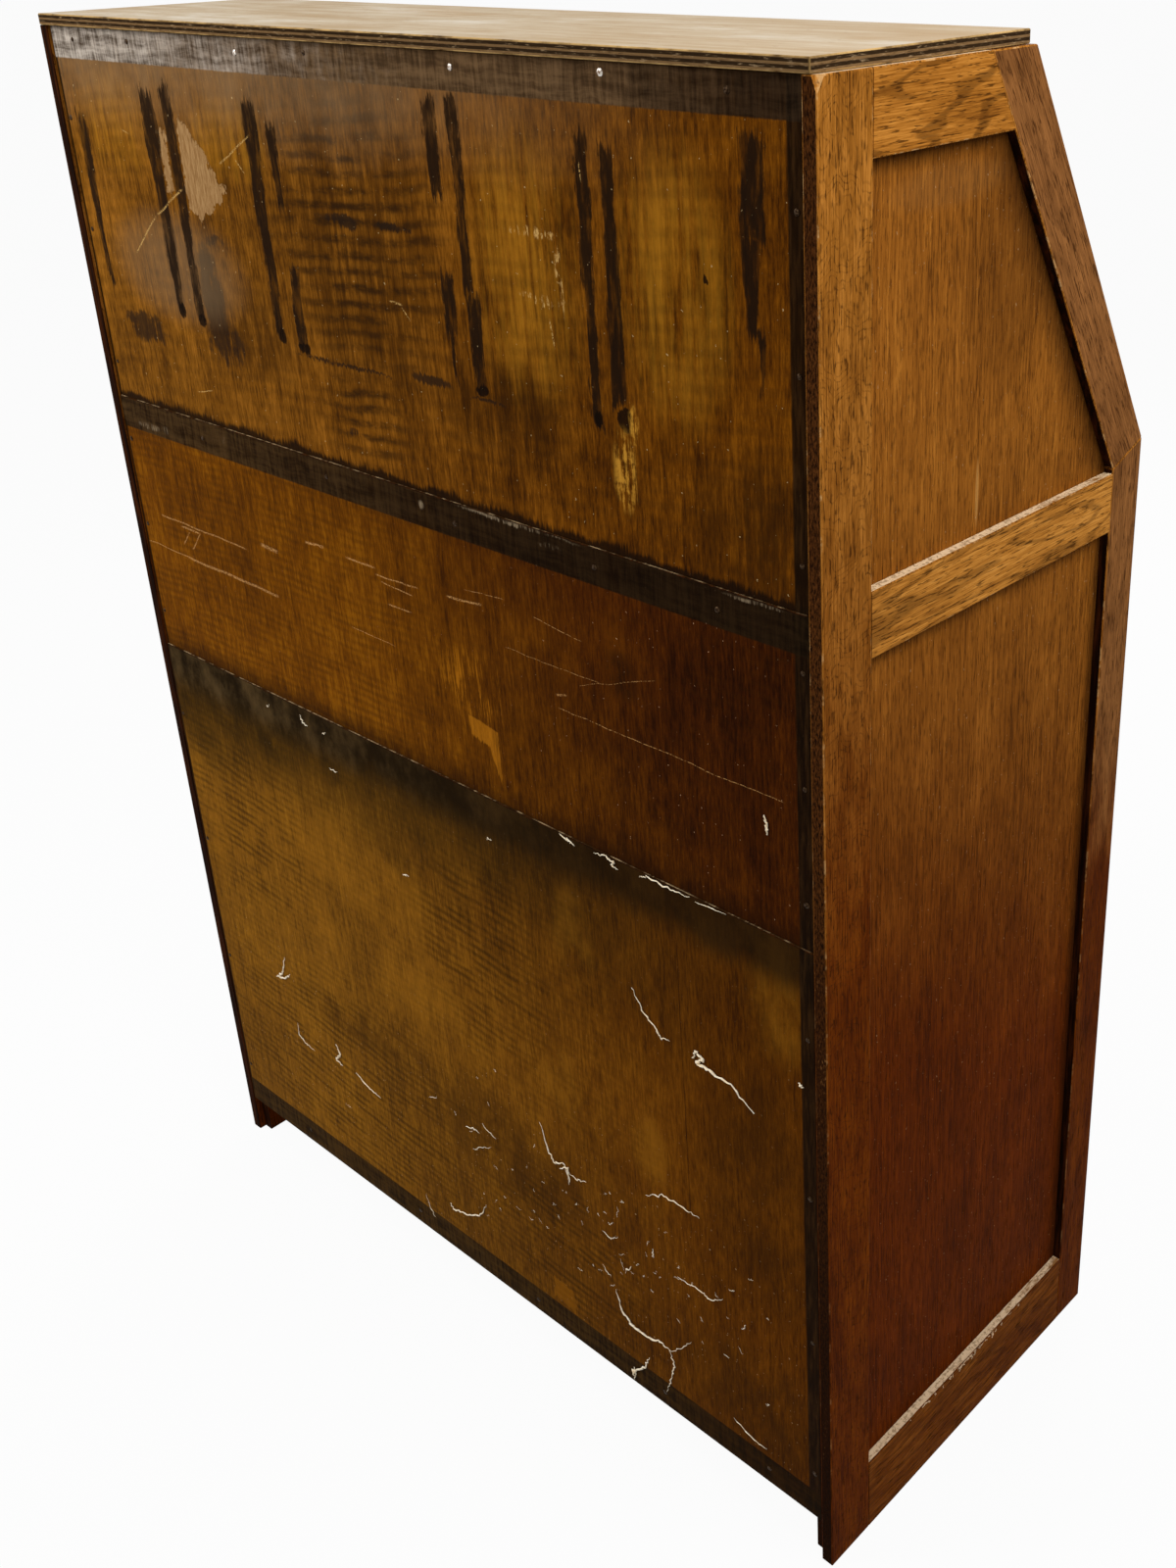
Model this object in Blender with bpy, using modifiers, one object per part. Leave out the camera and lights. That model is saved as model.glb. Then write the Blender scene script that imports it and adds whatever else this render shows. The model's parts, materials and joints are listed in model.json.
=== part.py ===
"""Writing bureau with a sloping fall over one long drawer and a two-door cupboard.

Metres, +Z up, front towards -Y, origin on the floor under the middle of the whole outline.
Left and right are as seen by someone who stands in front of the bureau, so left is -X.
"""
import math

import bmesh
import bpy
from mathutils import Vector

# Whole carcase
WIDTH = 0.762
DEPTH = 0.343
SIDE_HEIGHT = 1.051
SIDE_TOP_DEPTH = 0.192
WRITING_HEIGHT = 0.770
SLOPE_START_ABOVE_BED = 0.017

# Side frames: stiles and rails round two thin panels
FRAME_THICKNESS = 0.020
REAR_STILE_WIDTH = 0.044
FRONT_STILE_WIDTH = 0.036
SLOPE_STILE_WIDTH = 0.038
TOP_RAIL_WIDTH = 0.044
MID_RAIL_WIDTH = 0.042
BOTTOM_RAIL_WIDTH = 0.068
PANEL_THICKNESS = 0.006
PANEL_RECESS = 0.007
PANEL_TONGUE = 0.008
PANEL_BACK_CLEARANCE = 0.002
TENON_LENGTH = 0.014
TENON_SHOULDER = 0.002

# Top board and back sheets
TOP_THICKNESS = 0.008
TOP_SIDE_INSET = 0.003
TOP_FRONT_SETBACK = 0.003
TOP_REAR_OVERHANG = 0.0015
REBATE_WIDTH = 0.010
REBATE_DEPTH = 0.007
UPPER_SHEET_THICKNESS = 0.004
MIDDLE_SHEET_THICKNESS = 0.005
LOWER_SHEET_THICKNESS = 0.006
SHEET_BEARING = 0.004
BACK_FLOOR_GAP = 0.040

# Boards and rails across the carcase
BOARD_THICKNESS = 0.022
CUPBOARD_TOP_HEIGHT = 0.546
BOTTOM_BOARD_HEIGHT = 0.067
SHELF_HEIGHT = 0.310
SHELF_THICKNESS = 0.016
FRONT_SETBACK = 0.003
TOP_RAIL_DEPTH = 0.034
FRIEZE_THICKNESS = 0.020
PLINTH_THICKNESS = 0.018
PLINTH_SETBACK = 0.012
PLINTH_FLOOR_GAP = 0.003

# Pigeonholes
PIGEONHOLE_DEPTH = 0.140
PIGEONHOLE_HEIGHT = 0.125
PIGEONHOLE_BOARD = 0.008
DIVIDER_COUNT = 2

# Lopers and their guides
LOPER_WIDTH = 0.020
LOPER_HEIGHT = 0.062
LOPER_LENGTH = 0.310
GUIDE_WALL = 0.012
GUIDE_LEDGE = 0.009
LOPER_CLEARANCE = 0.0005

# Drawer
DRAWER_GAP = 0.001
DRAWER_FRONT_THICKNESS = 0.020
DRAWER_WALL = 0.012
DRAWER_WALL_DROP = 0.014
DRAWER_FRONT_HOUSING = 0.008
DRAWER_BACK_HOUSING = 0.005
DRAWER_BACK_INSET = 0.012
DRAWER_BOTTOM_THICKNESS = 0.005
DRAWER_BOTTOM_HEIGHT = 0.010
DRAWER_BOTTOM_GROOVE = 0.006
DRAWER_REAR_GAP = 0.014

# Fall
FALL_SIDE_GAP = 0.001
FALL_TOP_GAP = 0.0015
FALL_FRAME_WIDTH = 0.050
HINGE_GAP = 0.0005

# Doors
DOOR_THICKNESS = 0.020
DOOR_SETBACK = 0.0005
DOOR_GAP = 0.001
DOOR_MEETING_GAP = 0.002
DOOR_FRAME_WIDTH = 0.044
DOOR_HINGE_INSET = 0.075

# Turned knobs
KNOB_RADIUS = 0.014
KNOB_NECK_RADIUS = 0.008
KNOB_LENGTH = 0.024
KNOB_CROWN = 0.008
KNOB_SPIGOT_RADIUS = 0.005
KNOB_SPIGOT_LENGTH = 0.010
LOPER_KNOB_RADIUS = 0.009
LOPER_KNOB_NECK_RADIUS = 0.0055
LOPER_KNOB_LENGTH = 0.016
LOPER_KNOB_CROWN = 0.005
KNOB_ARC_STEPS = 4
KNOB_SIDES = 20
DRAWER_KNOB_SPREAD = 0.190
FALL_KNOB_BELOW_TOP = 0.025
DOOR_KNOB_BELOW_TOP = 0.130

# Hinges: leaf, knuckle and pin
KNUCKLE_RADIUS = 0.003
PIN_RADIUS = 0.0014
LEAF_THICKNESS = 0.0015
FALL_HINGE_LENGTH = 0.050
FALL_HINGE_REACH = 0.026
FALL_HINGE_SPREAD = 0.235
DOOR_HINGE_LENGTH = 0.050
DOOR_HINGE_REACH = 0.020
HINGE_SIDES = 16

# Gap between pieces that are seated or jointed together
FIT = 0.0003

# Planes that the pieces share
HALF_WIDTH = WIDTH / 2
INNER_X = HALF_WIDTH - FRAME_THICKNESS
PANEL_OUTER_X = HALF_WIDTH - PANEL_RECESS
PANEL_INNER_X = PANEL_OUTER_X - PANEL_THICKNESS
BOARD_END_X = PANEL_INNER_X - PANEL_BACK_CLEARANCE
REAR_Y = (DEPTH + KNOB_LENGTH - DOOR_SETBACK - TOP_REAR_OVERHANG) / 2
FRONT_Y = REAR_Y - DEPTH
REBATE_Y = REAR_Y - REBATE_DEPTH
REAR_STILE_Y = REAR_Y - REAR_STILE_WIDTH
FRONT_STILE_Y = FRONT_Y + FRONT_STILE_WIDTH
FACE_Y = FRONT_Y + DOOR_SETBACK
RAIL_Y = FRONT_Y + FRONT_SETBACK
SLOPE_TOP_Y = REAR_Y - SIDE_TOP_DEPTH
SLOPE_START_Z = WRITING_HEIGHT + SLOPE_START_ABOVE_BED
SLOPE_ANGLE = math.atan2(SIDE_HEIGHT - SLOPE_START_Z, SLOPE_TOP_Y - FRONT_Y)
TOP_RAIL_Z = SIDE_HEIGHT - TOP_RAIL_WIDTH
MID_RAIL_Z = WRITING_HEIGHT - MID_RAIL_WIDTH
BED_BOTTOM_Z = WRITING_HEIGHT - BOARD_THICKNESS
LOPER_TOP_Z = BED_BOTTOM_Z - LOPER_CLEARANCE
LOPER_BOTTOM_Z = LOPER_TOP_Z - LOPER_HEIGHT
FRIEZE_BOTTOM_Z = LOPER_BOTTOM_Z - LOPER_CLEARANCE - GUIDE_LEDGE
LOPER_OUTER_X = INNER_X - LOPER_CLEARANCE
GUIDE_INNER_X = LOPER_OUTER_X - LOPER_WIDTH - LOPER_CLEARANCE - GUIDE_WALL
CUPBOARD_TOP_BOTTOM_Z = CUPBOARD_TOP_HEIGHT - BOARD_THICKNESS
BOTTOM_BOARD_BOTTOM_Z = BOTTOM_BOARD_HEIGHT - BOARD_THICKNESS
DOOR_AXIS_X = INNER_X - DOOR_GAP / 2
DOOR_AXIS_Y = FRONT_Y - KNUCKLE_RADIUS - 2 * FIT
SIDES = {"left": -1, "right": 1}

for leftover in list(bpy.data.objects):
    bpy.data.objects.remove(leftover, do_unlink=True)

PARTS = bpy.data.collections.new("writing_bureau")
CUTTERS = bpy.data.collections.new("cutters")
bpy.context.scene.collection.children.link(PARTS)
bpy.context.scene.collection.children.link(CUTTERS)


def wood_or_metal(name, colour, roughness, metallic=0.0):
    """Return a plain Principled material."""
    material = bpy.data.materials.new(name)
    material.use_nodes = True
    shader = material.node_tree.nodes["Principled BSDF"]
    shader.inputs["Base Color"].default_value = (*colour, 1.0)
    shader.inputs["Roughness"].default_value = roughness
    shader.inputs["Metallic"].default_value = metallic
    return material


OAK = wood_or_metal("oak", (0.30, 0.13, 0.04), 0.45)
PANEL_OAK = wood_or_metal("panel_oak", (0.24, 0.10, 0.03), 0.45)
FADED_PLY = wood_or_metal("faded_ply", (0.45, 0.33, 0.20), 0.7)
STAINED_PLY = wood_or_metal("stained_ply", (0.20, 0.10, 0.03), 0.5)
PINE = wood_or_metal("pine", (0.42, 0.26, 0.12), 0.65)
BRASS = wood_or_metal("brass", (0.55, 0.38, 0.14), 0.35, 1.0)


def add_object(name, mesh, material, location, rotation, parent):
    """Place a mesh in its parent's frame, as a part, or as a cutter where it has no material."""
    thing = bpy.data.objects.new(name, mesh)
    thing.location = location
    thing.rotation_euler = rotation
    thing.parent = parent
    if material is None:
        CUTTERS.objects.link(thing)
        thing.hide_render = True
        thing.display_type = "WIRE"
    else:
        PARTS.objects.link(thing)
        mesh.materials.append(material)
    return thing


def joint_frame(name, location, rotation=(0.0, 0.0, 0.0)):
    """Add an empty on a joint's axis, which carries the pieces that move with it."""
    empty = bpy.data.objects.new(name, None)
    empty.location = location
    empty.rotation_euler = rotation
    PARTS.objects.link(empty)
    return empty


def box(name, low, high, material=None, parent=None):
    """Make a box between two corners of its parent's frame."""
    low, high = Vector(low), Vector(high)
    shape = bmesh.new()
    bmesh.ops.create_cube(shape, size=1.0)
    bmesh.ops.scale(shape, vec=high - low, verts=shape.verts)
    mesh = bpy.data.meshes.new(name)
    shape.to_mesh(mesh)
    shape.free()
    return add_object(name, mesh, material, (low + high) / 2, (0.0, 0.0, 0.0), parent)


def grown_box(name, low, high, margin, parent=None):
    """Make a cutter that stands off a box by the same margin on every side."""
    spread = Vector((margin, margin, margin))
    return box(name, Vector(low) - spread, Vector(high) + spread, None, parent)


def plate(name, outline, x_low, x_high, material=None):
    """Make a flat piece with an outline of (y, z) points between two planes of x."""
    curve = bpy.data.curves.new(name, "CURVE")
    curve.dimensions = "2D"
    curve.fill_mode = "BOTH"
    curve.extrude = (x_high - x_low) / 2
    spline = curve.splines.new("POLY")
    spline.points.add(len(outline) - 1)
    for corner, place in zip(spline.points, outline):
        corner.co = (place[0], place[1], 0.0, 1.0)
    spline.use_cyclic_u = True
    sketch = bpy.data.objects.new(name + "_outline", curve)
    bpy.context.scene.collection.objects.link(sketch)
    graph = bpy.context.evaluated_depsgraph_get()
    mesh = bpy.data.meshes.new_from_object(sketch.evaluated_get(graph))
    bpy.data.objects.remove(sketch)
    shape = bmesh.new()
    shape.from_mesh(mesh)
    bmesh.ops.remove_doubles(shape, verts=shape.verts, dist=FIT / 10)
    bmesh.ops.recalc_face_normals(shape, faces=shape.faces)
    shape.to_mesh(mesh)
    shape.free()
    upright = (math.pi / 2, 0.0, math.pi / 2)
    return add_object(name, mesh, material, ((x_low + x_high) / 2, 0.0, 0.0), upright, None)


def rod(name, radius, low, high, location, rotation, parent):
    """Make a cutter or a core: a cylinder along its own z, between two heights."""
    shape = bmesh.new()
    bmesh.ops.create_cone(
        shape, cap_ends=True, segments=HINGE_SIDES, radius1=radius, radius2=radius, depth=high - low
    )
    bmesh.ops.translate(shape, vec=(0.0, 0.0, (low + high) / 2), verts=shape.verts)
    mesh = bpy.data.meshes.new(name)
    shape.to_mesh(mesh)
    shape.free()
    return add_object(name, mesh, None, location, rotation, parent)


def change(target, tool, operation):
    """Cut a part with a tool, or join the tool to it."""
    modifier = target.modifiers.new(tool.name, "BOOLEAN")
    modifier.operation = operation
    modifier.solver = "EXACT"
    modifier.object = tool


def cut(tool, targets):
    """Cut the same pocket in several parts."""
    for target in targets:
        change(target, tool, "DIFFERENCE")


def offset_outline(outline, distance):
    """Move each edge of a convex outline outwards; the points run counter-clockwise."""
    moved = []
    for index, point in enumerate(outline):
        point = Vector(point)
        following = Vector(outline[(index + 1) % len(outline)])
        arriving = (point - Vector(outline[index - 1])).normalized()
        leaving = (following - point).normalized()
        first = Vector((arriving.y, -arriving.x))
        second = Vector((leaving.y, -leaving.x))
        moved.append(point + (first + second) * distance / (1 + first.dot(second)))
    return moved


def slope_point(inset, height):
    """Return the (y, z) point at a height on the line that lies inside the sloping front edge."""
    y = FRONT_Y + (height - SLOPE_START_Z) / math.tan(SLOPE_ANGLE) + inset / math.sin(SLOPE_ANGLE)
    return y, height


def span(sign, first, second):
    """Return two distances from the middle as ordered x values on one side."""
    return sorted((sign * first, sign * second))


# Side frames
MITRE_Z = SLOPE_START_Z + math.tan(SLOPE_ANGLE) * (
    FRONT_STILE_WIDTH - SLOPE_STILE_WIDTH / math.sin(SLOPE_ANGLE)
)
UPPER_OPENING = [
    (FRONT_STILE_Y, WRITING_HEIGHT),
    (REAR_STILE_Y, WRITING_HEIGHT),
    (REAR_STILE_Y, TOP_RAIL_Z),
    slope_point(SLOPE_STILE_WIDTH, TOP_RAIL_Z),
    (FRONT_STILE_Y, MITRE_Z),
]
LOWER_OPENING = [
    (FRONT_STILE_Y, BOTTOM_RAIL_WIDTH),
    (REAR_STILE_Y, BOTTOM_RAIL_WIDTH),
    (REAR_STILE_Y, MID_RAIL_Z),
    (FRONT_STILE_Y, MID_RAIL_Z),
]


def stiles(side, sign):
    """Make the three upright members of one side frame."""
    faces = span(sign, INNER_X, HALF_WIDTH)
    rear_outline = [(REAR_STILE_Y, 0.0), (REAR_Y, 0.0), (REAR_Y, SIDE_HEIGHT), (REAR_STILE_Y, SIDE_HEIGHT)]
    front_outline = [
        (FRONT_Y, 0.0),
        (FRONT_STILE_Y, 0.0),
        (FRONT_STILE_Y, MITRE_Z),
        (FRONT_Y, SLOPE_START_Z),
    ]
    along_slope = Vector((math.cos(SLOPE_ANGLE), math.sin(SLOPE_ANGLE))) * FIT
    slope_outline = [
        Vector((FRONT_Y, SLOPE_START_Z)) + along_slope,
        Vector((FRONT_STILE_Y, MITRE_Z)) + along_slope,
        slope_point(SLOPE_STILE_WIDTH, SIDE_HEIGHT),
        slope_point(0.0, SIDE_HEIGHT),
    ]
    rear = plate(f"{side}_rear_stile", rear_outline, *faces, OAK)
    front = plate(f"{side}_front_stile", front_outline, *faces, OAK)
    slope = plate(f"{side}_slope_stile", slope_outline, *faces, OAK)
    lip = span(sign, INNER_X - REBATE_WIDTH, INNER_X + REBATE_WIDTH)
    rebate_low = (lip[0], REBATE_Y, -REBATE_WIDTH)
    rebate_high = (lip[1], REAR_Y + REBATE_WIDTH, SIDE_HEIGHT + REBATE_WIDTH)
    cut(box(f"{side}_rebate", rebate_low, rebate_high), [rear])
    return rear, front, slope


def level_rail(end_growth, low, high):
    """Outline a level rail between the front and rear stiles."""
    return [
        (FRONT_STILE_Y - end_growth, low),
        (REAR_STILE_Y + end_growth, low),
        (REAR_STILE_Y + end_growth, high),
        (FRONT_STILE_Y - end_growth, high),
    ]


def sloped_rail(end_growth, low, high):
    """Outline the top rail, whose front end is cut along the sloping stile."""
    return [
        slope_point(SLOPE_STILE_WIDTH - end_growth, low),
        (REAR_STILE_Y + end_growth, low),
        (REAR_STILE_Y + end_growth, high),
        slope_point(SLOPE_STILE_WIDTH - end_growth, high),
    ]


def tenoned_rail(name, sign, outline, low, high, end_stiles):
    """Make a rail with a thin tenon at each end, and mortise the stiles that take it."""
    rail = plate(name, outline(-FIT, low, high), *span(sign, INNER_X, HALF_WIDTH), OAK)
    shoulder = PANEL_TONGUE + TENON_SHOULDER
    tongue = outline(TENON_LENGTH, low + shoulder, high - shoulder)
    tenon = plate(name + "_tenon", tongue, *span(sign, PANEL_INNER_X, PANEL_OUTER_X))
    mortise_faces = span(sign, PANEL_INNER_X - FIT, PANEL_OUTER_X + FIT)
    mortise = plate(name + "_mortise", offset_outline(tongue, FIT), *mortise_faces)
    change(rail, tenon, "UNION")
    cut(mortise, end_stiles)
    return rail


def grooved_panel(name, sign, opening, members):
    """Make a thin panel that lies in grooves in the members round its opening."""
    faces = span(sign, PANEL_INNER_X, PANEL_OUTER_X)
    groove_faces = span(sign, PANEL_INNER_X - FIT, PANEL_OUTER_X + FIT)
    plate(name, offset_outline(opening, PANEL_TONGUE), *faces, PANEL_OAK)
    cut(plate(name + "_groove", offset_outline(opening, PANEL_TONGUE + FIT), *groove_faces), members)


def side_frame(side, sign):
    """Make one side and return its members by name."""
    rear, front, slope = stiles(side, sign)
    top = tenoned_rail(f"{side}_top_rail", sign, sloped_rail, TOP_RAIL_Z, SIDE_HEIGHT, [rear, slope])
    mid = tenoned_rail(f"{side}_mid_rail", sign, level_rail, MID_RAIL_Z, WRITING_HEIGHT, [rear, front])
    bottom = tenoned_rail(f"{side}_bottom_rail", sign, level_rail, 0.0, BOTTOM_RAIL_WIDTH, [rear, front])
    grooved_panel(f"{side}_upper_panel", sign, UPPER_OPENING, [rear, front, slope, top, mid])
    grooved_panel(f"{side}_lower_panel", sign, LOWER_OPENING, [rear, front, mid, bottom])
    return {"rear": rear, "front": front, "slope": slope, "top": top, "mid": mid, "bottom": bottom}


FRAMES = [side_frame(side, sign) for side, sign in SIDES.items()]


def members(*names):
    """Return the named members of both side frames."""
    return [frame[name] for frame in FRAMES for name in names]


# Boards across the carcase, housed in the side frames
def housed_board(name, y_low, y_high, z_low, z_high, material, housed_in):
    """Make a board from side to side and cut its housings."""
    low = (-BOARD_END_X, y_low, z_low)
    high = (BOARD_END_X, y_high, z_high)
    cut(grown_box(name + "_housing", low, high, FIT), housed_in)
    return box(name, low, high, material)


PIVOT_Y = slope_point(BOARD_THICKNESS, WRITING_HEIGHT)[0]
BED = housed_board(
    "desk_bed",
    PIVOT_Y + HINGE_GAP,
    REBATE_Y,
    BED_BOTTOM_Z,
    WRITING_HEIGHT,
    OAK,
    members("rear", "front", "mid"),
)
housed_board(
    "cupboard_top",
    RAIL_Y,
    REBATE_Y,
    CUPBOARD_TOP_BOTTOM_Z,
    CUPBOARD_TOP_HEIGHT,
    OAK,
    members("rear", "front"),
)
housed_board(
    "bottom_board",
    RAIL_Y,
    REBATE_Y,
    BOTTOM_BOARD_BOTTOM_Z,
    BOTTOM_BOARD_HEIGHT,
    OAK,
    members("rear", "front", "bottom"),
)
housed_board(
    "cupboard_shelf",
    FACE_Y + DOOR_THICKNESS + FIT,
    REBATE_Y,
    SHELF_HEIGHT - SHELF_THICKNESS,
    SHELF_HEIGHT,
    PINE,
    members("rear", "front"),
)
housed_board(
    "plinth",
    FRONT_Y + PLINTH_SETBACK,
    FRONT_Y + PLINTH_SETBACK + PLINTH_THICKNESS,
    PLINTH_FLOOR_GAP,
    BOTTOM_BOARD_BOTTOM_Z - FIT,
    OAK,
    members("front"),
)
housed_board(
    "top_rear_rail",
    REBATE_Y - TOP_RAIL_DEPTH,
    REBATE_Y,
    SIDE_HEIGHT - BOARD_THICKNESS,
    SIDE_HEIGHT,
    PINE,
    members("rear"),
)

# Rail under the top, bevelled to the slope, which the closed fall rests on
STOP_INSET = BOARD_THICKNESS + FIT
STOP_FRONT_LOW = slope_point(STOP_INSET, SIDE_HEIGHT - BOARD_THICKNESS)
STOP_REAR_Y = STOP_FRONT_LOW[0] + TOP_RAIL_DEPTH
STOP_OUTLINE = [
    STOP_FRONT_LOW,
    (STOP_REAR_Y, SIDE_HEIGHT - BOARD_THICKNESS),
    (STOP_REAR_Y, SIDE_HEIGHT),
    slope_point(STOP_INSET, SIDE_HEIGHT),
]
plate("top_front_rail", STOP_OUTLINE, -BOARD_END_X, BOARD_END_X, OAK)
STOP_HOUSING = plate(
    "top_front_rail_housing", offset_outline(STOP_OUTLINE, FIT), -BOARD_END_X - FIT, BOARD_END_X + FIT
)
cut(STOP_HOUSING, members("slope", "top"))

# Top board
TOP_LOW_Z = SIDE_HEIGHT + FIT
TOP_FRONT_Y = SLOPE_TOP_Y + TOP_FRONT_SETBACK
box(
    "top_board",
    (TOP_SIDE_INSET - HALF_WIDTH, TOP_FRONT_Y, TOP_LOW_Z),
    (HALF_WIDTH - TOP_SIDE_INSET, REAR_Y + TOP_REAR_OVERHANG, TOP_LOW_Z + TOP_THICKNESS),
    FADED_PLY,
)


# Back sheets, which meet on the rear edges of the bed and of the cupboard top
def back_sheet(name, z_low, z_high, thickness):
    """Make one sheet of the back, lying in the rebates of the rear stiles."""
    half = INNER_X + REBATE_WIDTH - FIT
    front = REBATE_Y + FIT
    box(name, (-half, front, z_low), (half, front + thickness, z_high), STAINED_PLY)


UPPER_SEAM_Z = WRITING_HEIGHT - SHEET_BEARING
LOWER_SEAM_Z = CUPBOARD_TOP_HEIGHT - SHEET_BEARING
back_sheet("back_sheet_upper", UPPER_SEAM_Z + FIT, SIDE_HEIGHT, UPPER_SHEET_THICKNESS)
back_sheet("back_sheet_middle", LOWER_SEAM_Z + FIT, UPPER_SEAM_Z, MIDDLE_SHEET_THICKNESS)
back_sheet("back_sheet_lower", BACK_FLOOR_GAP, LOWER_SEAM_Z, LOWER_SHEET_THICKNESS)

# Pigeonholes: a shelf on evenly spaced dividers, against the back
HOLE_FRONT_Y = REBATE_Y - PIGEONHOLE_DEPTH
HOLE_TOP_Z = WRITING_HEIGHT + PIGEONHOLE_HEIGHT
box(
    "pigeonhole_shelf",
    (FIT - INNER_X, HOLE_FRONT_Y, HOLE_TOP_Z),
    (INNER_X - FIT, REBATE_Y, HOLE_TOP_Z + PIGEONHOLE_BOARD),
    PINE,
)
for number in range(1, DIVIDER_COUNT + 1):
    middle = INNER_X * (2 * number / (DIVIDER_COUNT + 1) - 1)
    box(
        f"pigeonhole_divider_{number}",
        (middle - PIGEONHOLE_BOARD / 2, HOLE_FRONT_Y, WRITING_HEIGHT + FIT),
        (middle + PIGEONHOLE_BOARD / 2, REBATE_Y, HOLE_TOP_Z - FIT),
        PINE,
    )

# Frieze rail between the loper guides, under the bed
box(
    "frieze_rail",
    (FIT - GUIDE_INNER_X, RAIL_Y, FRIEZE_BOTTOM_Z),
    (GUIDE_INNER_X - FIT, RAIL_Y + FRIEZE_THICKNESS, BED_BOTTOM_Z - FIT),
    OAK,
)


# Turned knobs
def knob_mesh_object(name, profile, material, location, rotation, parent):
    """Turn a profile of (radius, height) points round its own z."""
    mesh = bpy.data.meshes.new(name)
    edges = [(index, index + 1) for index in range(len(profile) - 1)]
    mesh.from_pydata([(radius, 0.0, height) for radius, height in profile], edges, [])
    knob = add_object(name, mesh, material, location, rotation, parent)
    turn = knob.modifiers.new("turn", "SCREW")
    turn.axis = "Z"
    turn.angle = 2 * math.pi
    turn.steps = KNOB_SIDES
    turn.render_steps = KNOB_SIDES
    turn.use_merge_vertices = True
    turn.merge_threshold = FIT / 10
    turn.use_smooth_shade = True
    return knob


def knob_profile(radius, neck_radius, length, crown, seat):
    """Run from the crown's middle down the neck and the spigot, which goes into the wood."""
    profile = [(0.0, length)]
    for step in range(1, KNOB_ARC_STEPS + 1):
        angle = math.pi / 2 * (1 - step / KNOB_ARC_STEPS)
        profile.append((radius * math.cos(angle), length - crown + crown * math.sin(angle)))
    profile.append((neck_radius, length - 2 * crown))
    profile.append((neck_radius, seat))
    profile.append((KNOB_SPIGOT_RADIUS, seat))
    profile.append((KNOB_SPIGOT_RADIUS, -KNOB_SPIGOT_LENGTH))
    profile.append((0.0, -KNOB_SPIGOT_LENGTH))
    return profile


FACING_FRONT = (math.pi / 2, 0.0, 0.0)


def fitted_knob(name, location, parent, carrier):
    """Seat a knob on a front face and bore the face for its spigot."""
    profile = knob_profile(KNOB_RADIUS, KNOB_NECK_RADIUS, KNOB_LENGTH, KNOB_CROWN, FIT)
    knob_mesh_object(name, profile, OAK, location, FACING_FRONT, parent)
    depth = KNOB_SPIGOT_LENGTH + FIT
    bore_radius = (KNOB_SPIGOT_RADIUS + FIT) / math.cos(math.pi / HINGE_SIDES)
    cut(rod(name + "_bore", bore_radius, -depth, depth, location, FACING_FRONT, parent), [carrier])


# Lopers, each in an L-shaped guide under the bed
def loper_and_guide(side, sign):
    """Make one loper with its knob, and the guide that it slides in."""
    guide_x = span(sign, GUIDE_INNER_X, INNER_X - FIT)
    guide_low = (guide_x[0], RAIL_Y, FRIEZE_BOTTOM_Z)
    guide_high = (guide_x[1], REBATE_Y, BED_BOTTOM_Z - FIT)
    guide = box(f"{side}_loper_guide", guide_low, guide_high, PINE)
    channel_x = span(sign, GUIDE_INNER_X + GUIDE_WALL, HALF_WIDTH)
    channel_low = (channel_x[0], FRONT_Y - LOPER_LENGTH, LOPER_BOTTOM_Z - LOPER_CLEARANCE)
    channel_high = (channel_x[1], REAR_Y, WRITING_HEIGHT)
    cut(box(f"{side}_loper_channel", channel_low, channel_high), [guide])

    middle = sign * (LOPER_OUTER_X - LOPER_WIDTH / 2)
    slide = joint_frame(f"{side}_loper_slide", (middle, RAIL_Y, LOPER_BOTTOM_Z))
    half = LOPER_WIDTH / 2
    loper = box(f"{side}_loper", (-half, 0.0, 0.0), (half, LOPER_LENGTH, LOPER_HEIGHT), OAK, slide)
    profile = knob_profile(
        LOPER_KNOB_RADIUS, LOPER_KNOB_NECK_RADIUS, LOPER_KNOB_LENGTH, LOPER_KNOB_CROWN, -FIT
    )
    place = (0.0, 0.0, LOPER_HEIGHT / 2)
    change(loper, knob_mesh_object(f"{side}_loper_knob", profile, None, place, FACING_FRONT, slide), "UNION")


for side, sign in SIDES.items():
    loper_and_guide(side, sign)

# Drawer, in its own frame: middle of the front's face, at the level that it runs on
DRAWER = joint_frame("drawer_slide", (0.0, FACE_Y, CUPBOARD_TOP_HEIGHT))
DRAWER_HALF = INNER_X - DRAWER_GAP
DRAWER_OPENING = FRIEZE_BOTTOM_Z - CUPBOARD_TOP_HEIGHT
DRAWER_FRONT = box(
    "drawer_front",
    (-DRAWER_HALF, 0.0, DRAWER_GAP),
    (DRAWER_HALF, DRAWER_FRONT_THICKNESS, DRAWER_OPENING - DRAWER_GAP),
    OAK,
    DRAWER,
)
DRAWER_REAR_Y = REBATE_Y - DRAWER_REAR_GAP - FACE_Y
DRAWER_WALL_TOP = DRAWER_OPENING - DRAWER_WALL_DROP
DRAWER_INNER = DRAWER_HALF - DRAWER_WALL
DRAWER_WALL_FRONT_Y = DRAWER_FRONT_THICKNESS - DRAWER_FRONT_HOUSING
DRAWER_WALLS = []
for side, sign in SIDES.items():
    wall_x = span(sign, DRAWER_INNER, DRAWER_HALF)
    wall_low = (wall_x[0], DRAWER_WALL_FRONT_Y, FIT)
    wall_high = (wall_x[1], DRAWER_REAR_Y, DRAWER_WALL_TOP)
    DRAWER_WALLS.append(box(f"drawer_{side}_side", wall_low, wall_high, PINE, DRAWER))
    cut(grown_box(f"drawer_{side}_side_housing", wall_low, wall_high, FIT, DRAWER), [DRAWER_FRONT])

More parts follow.
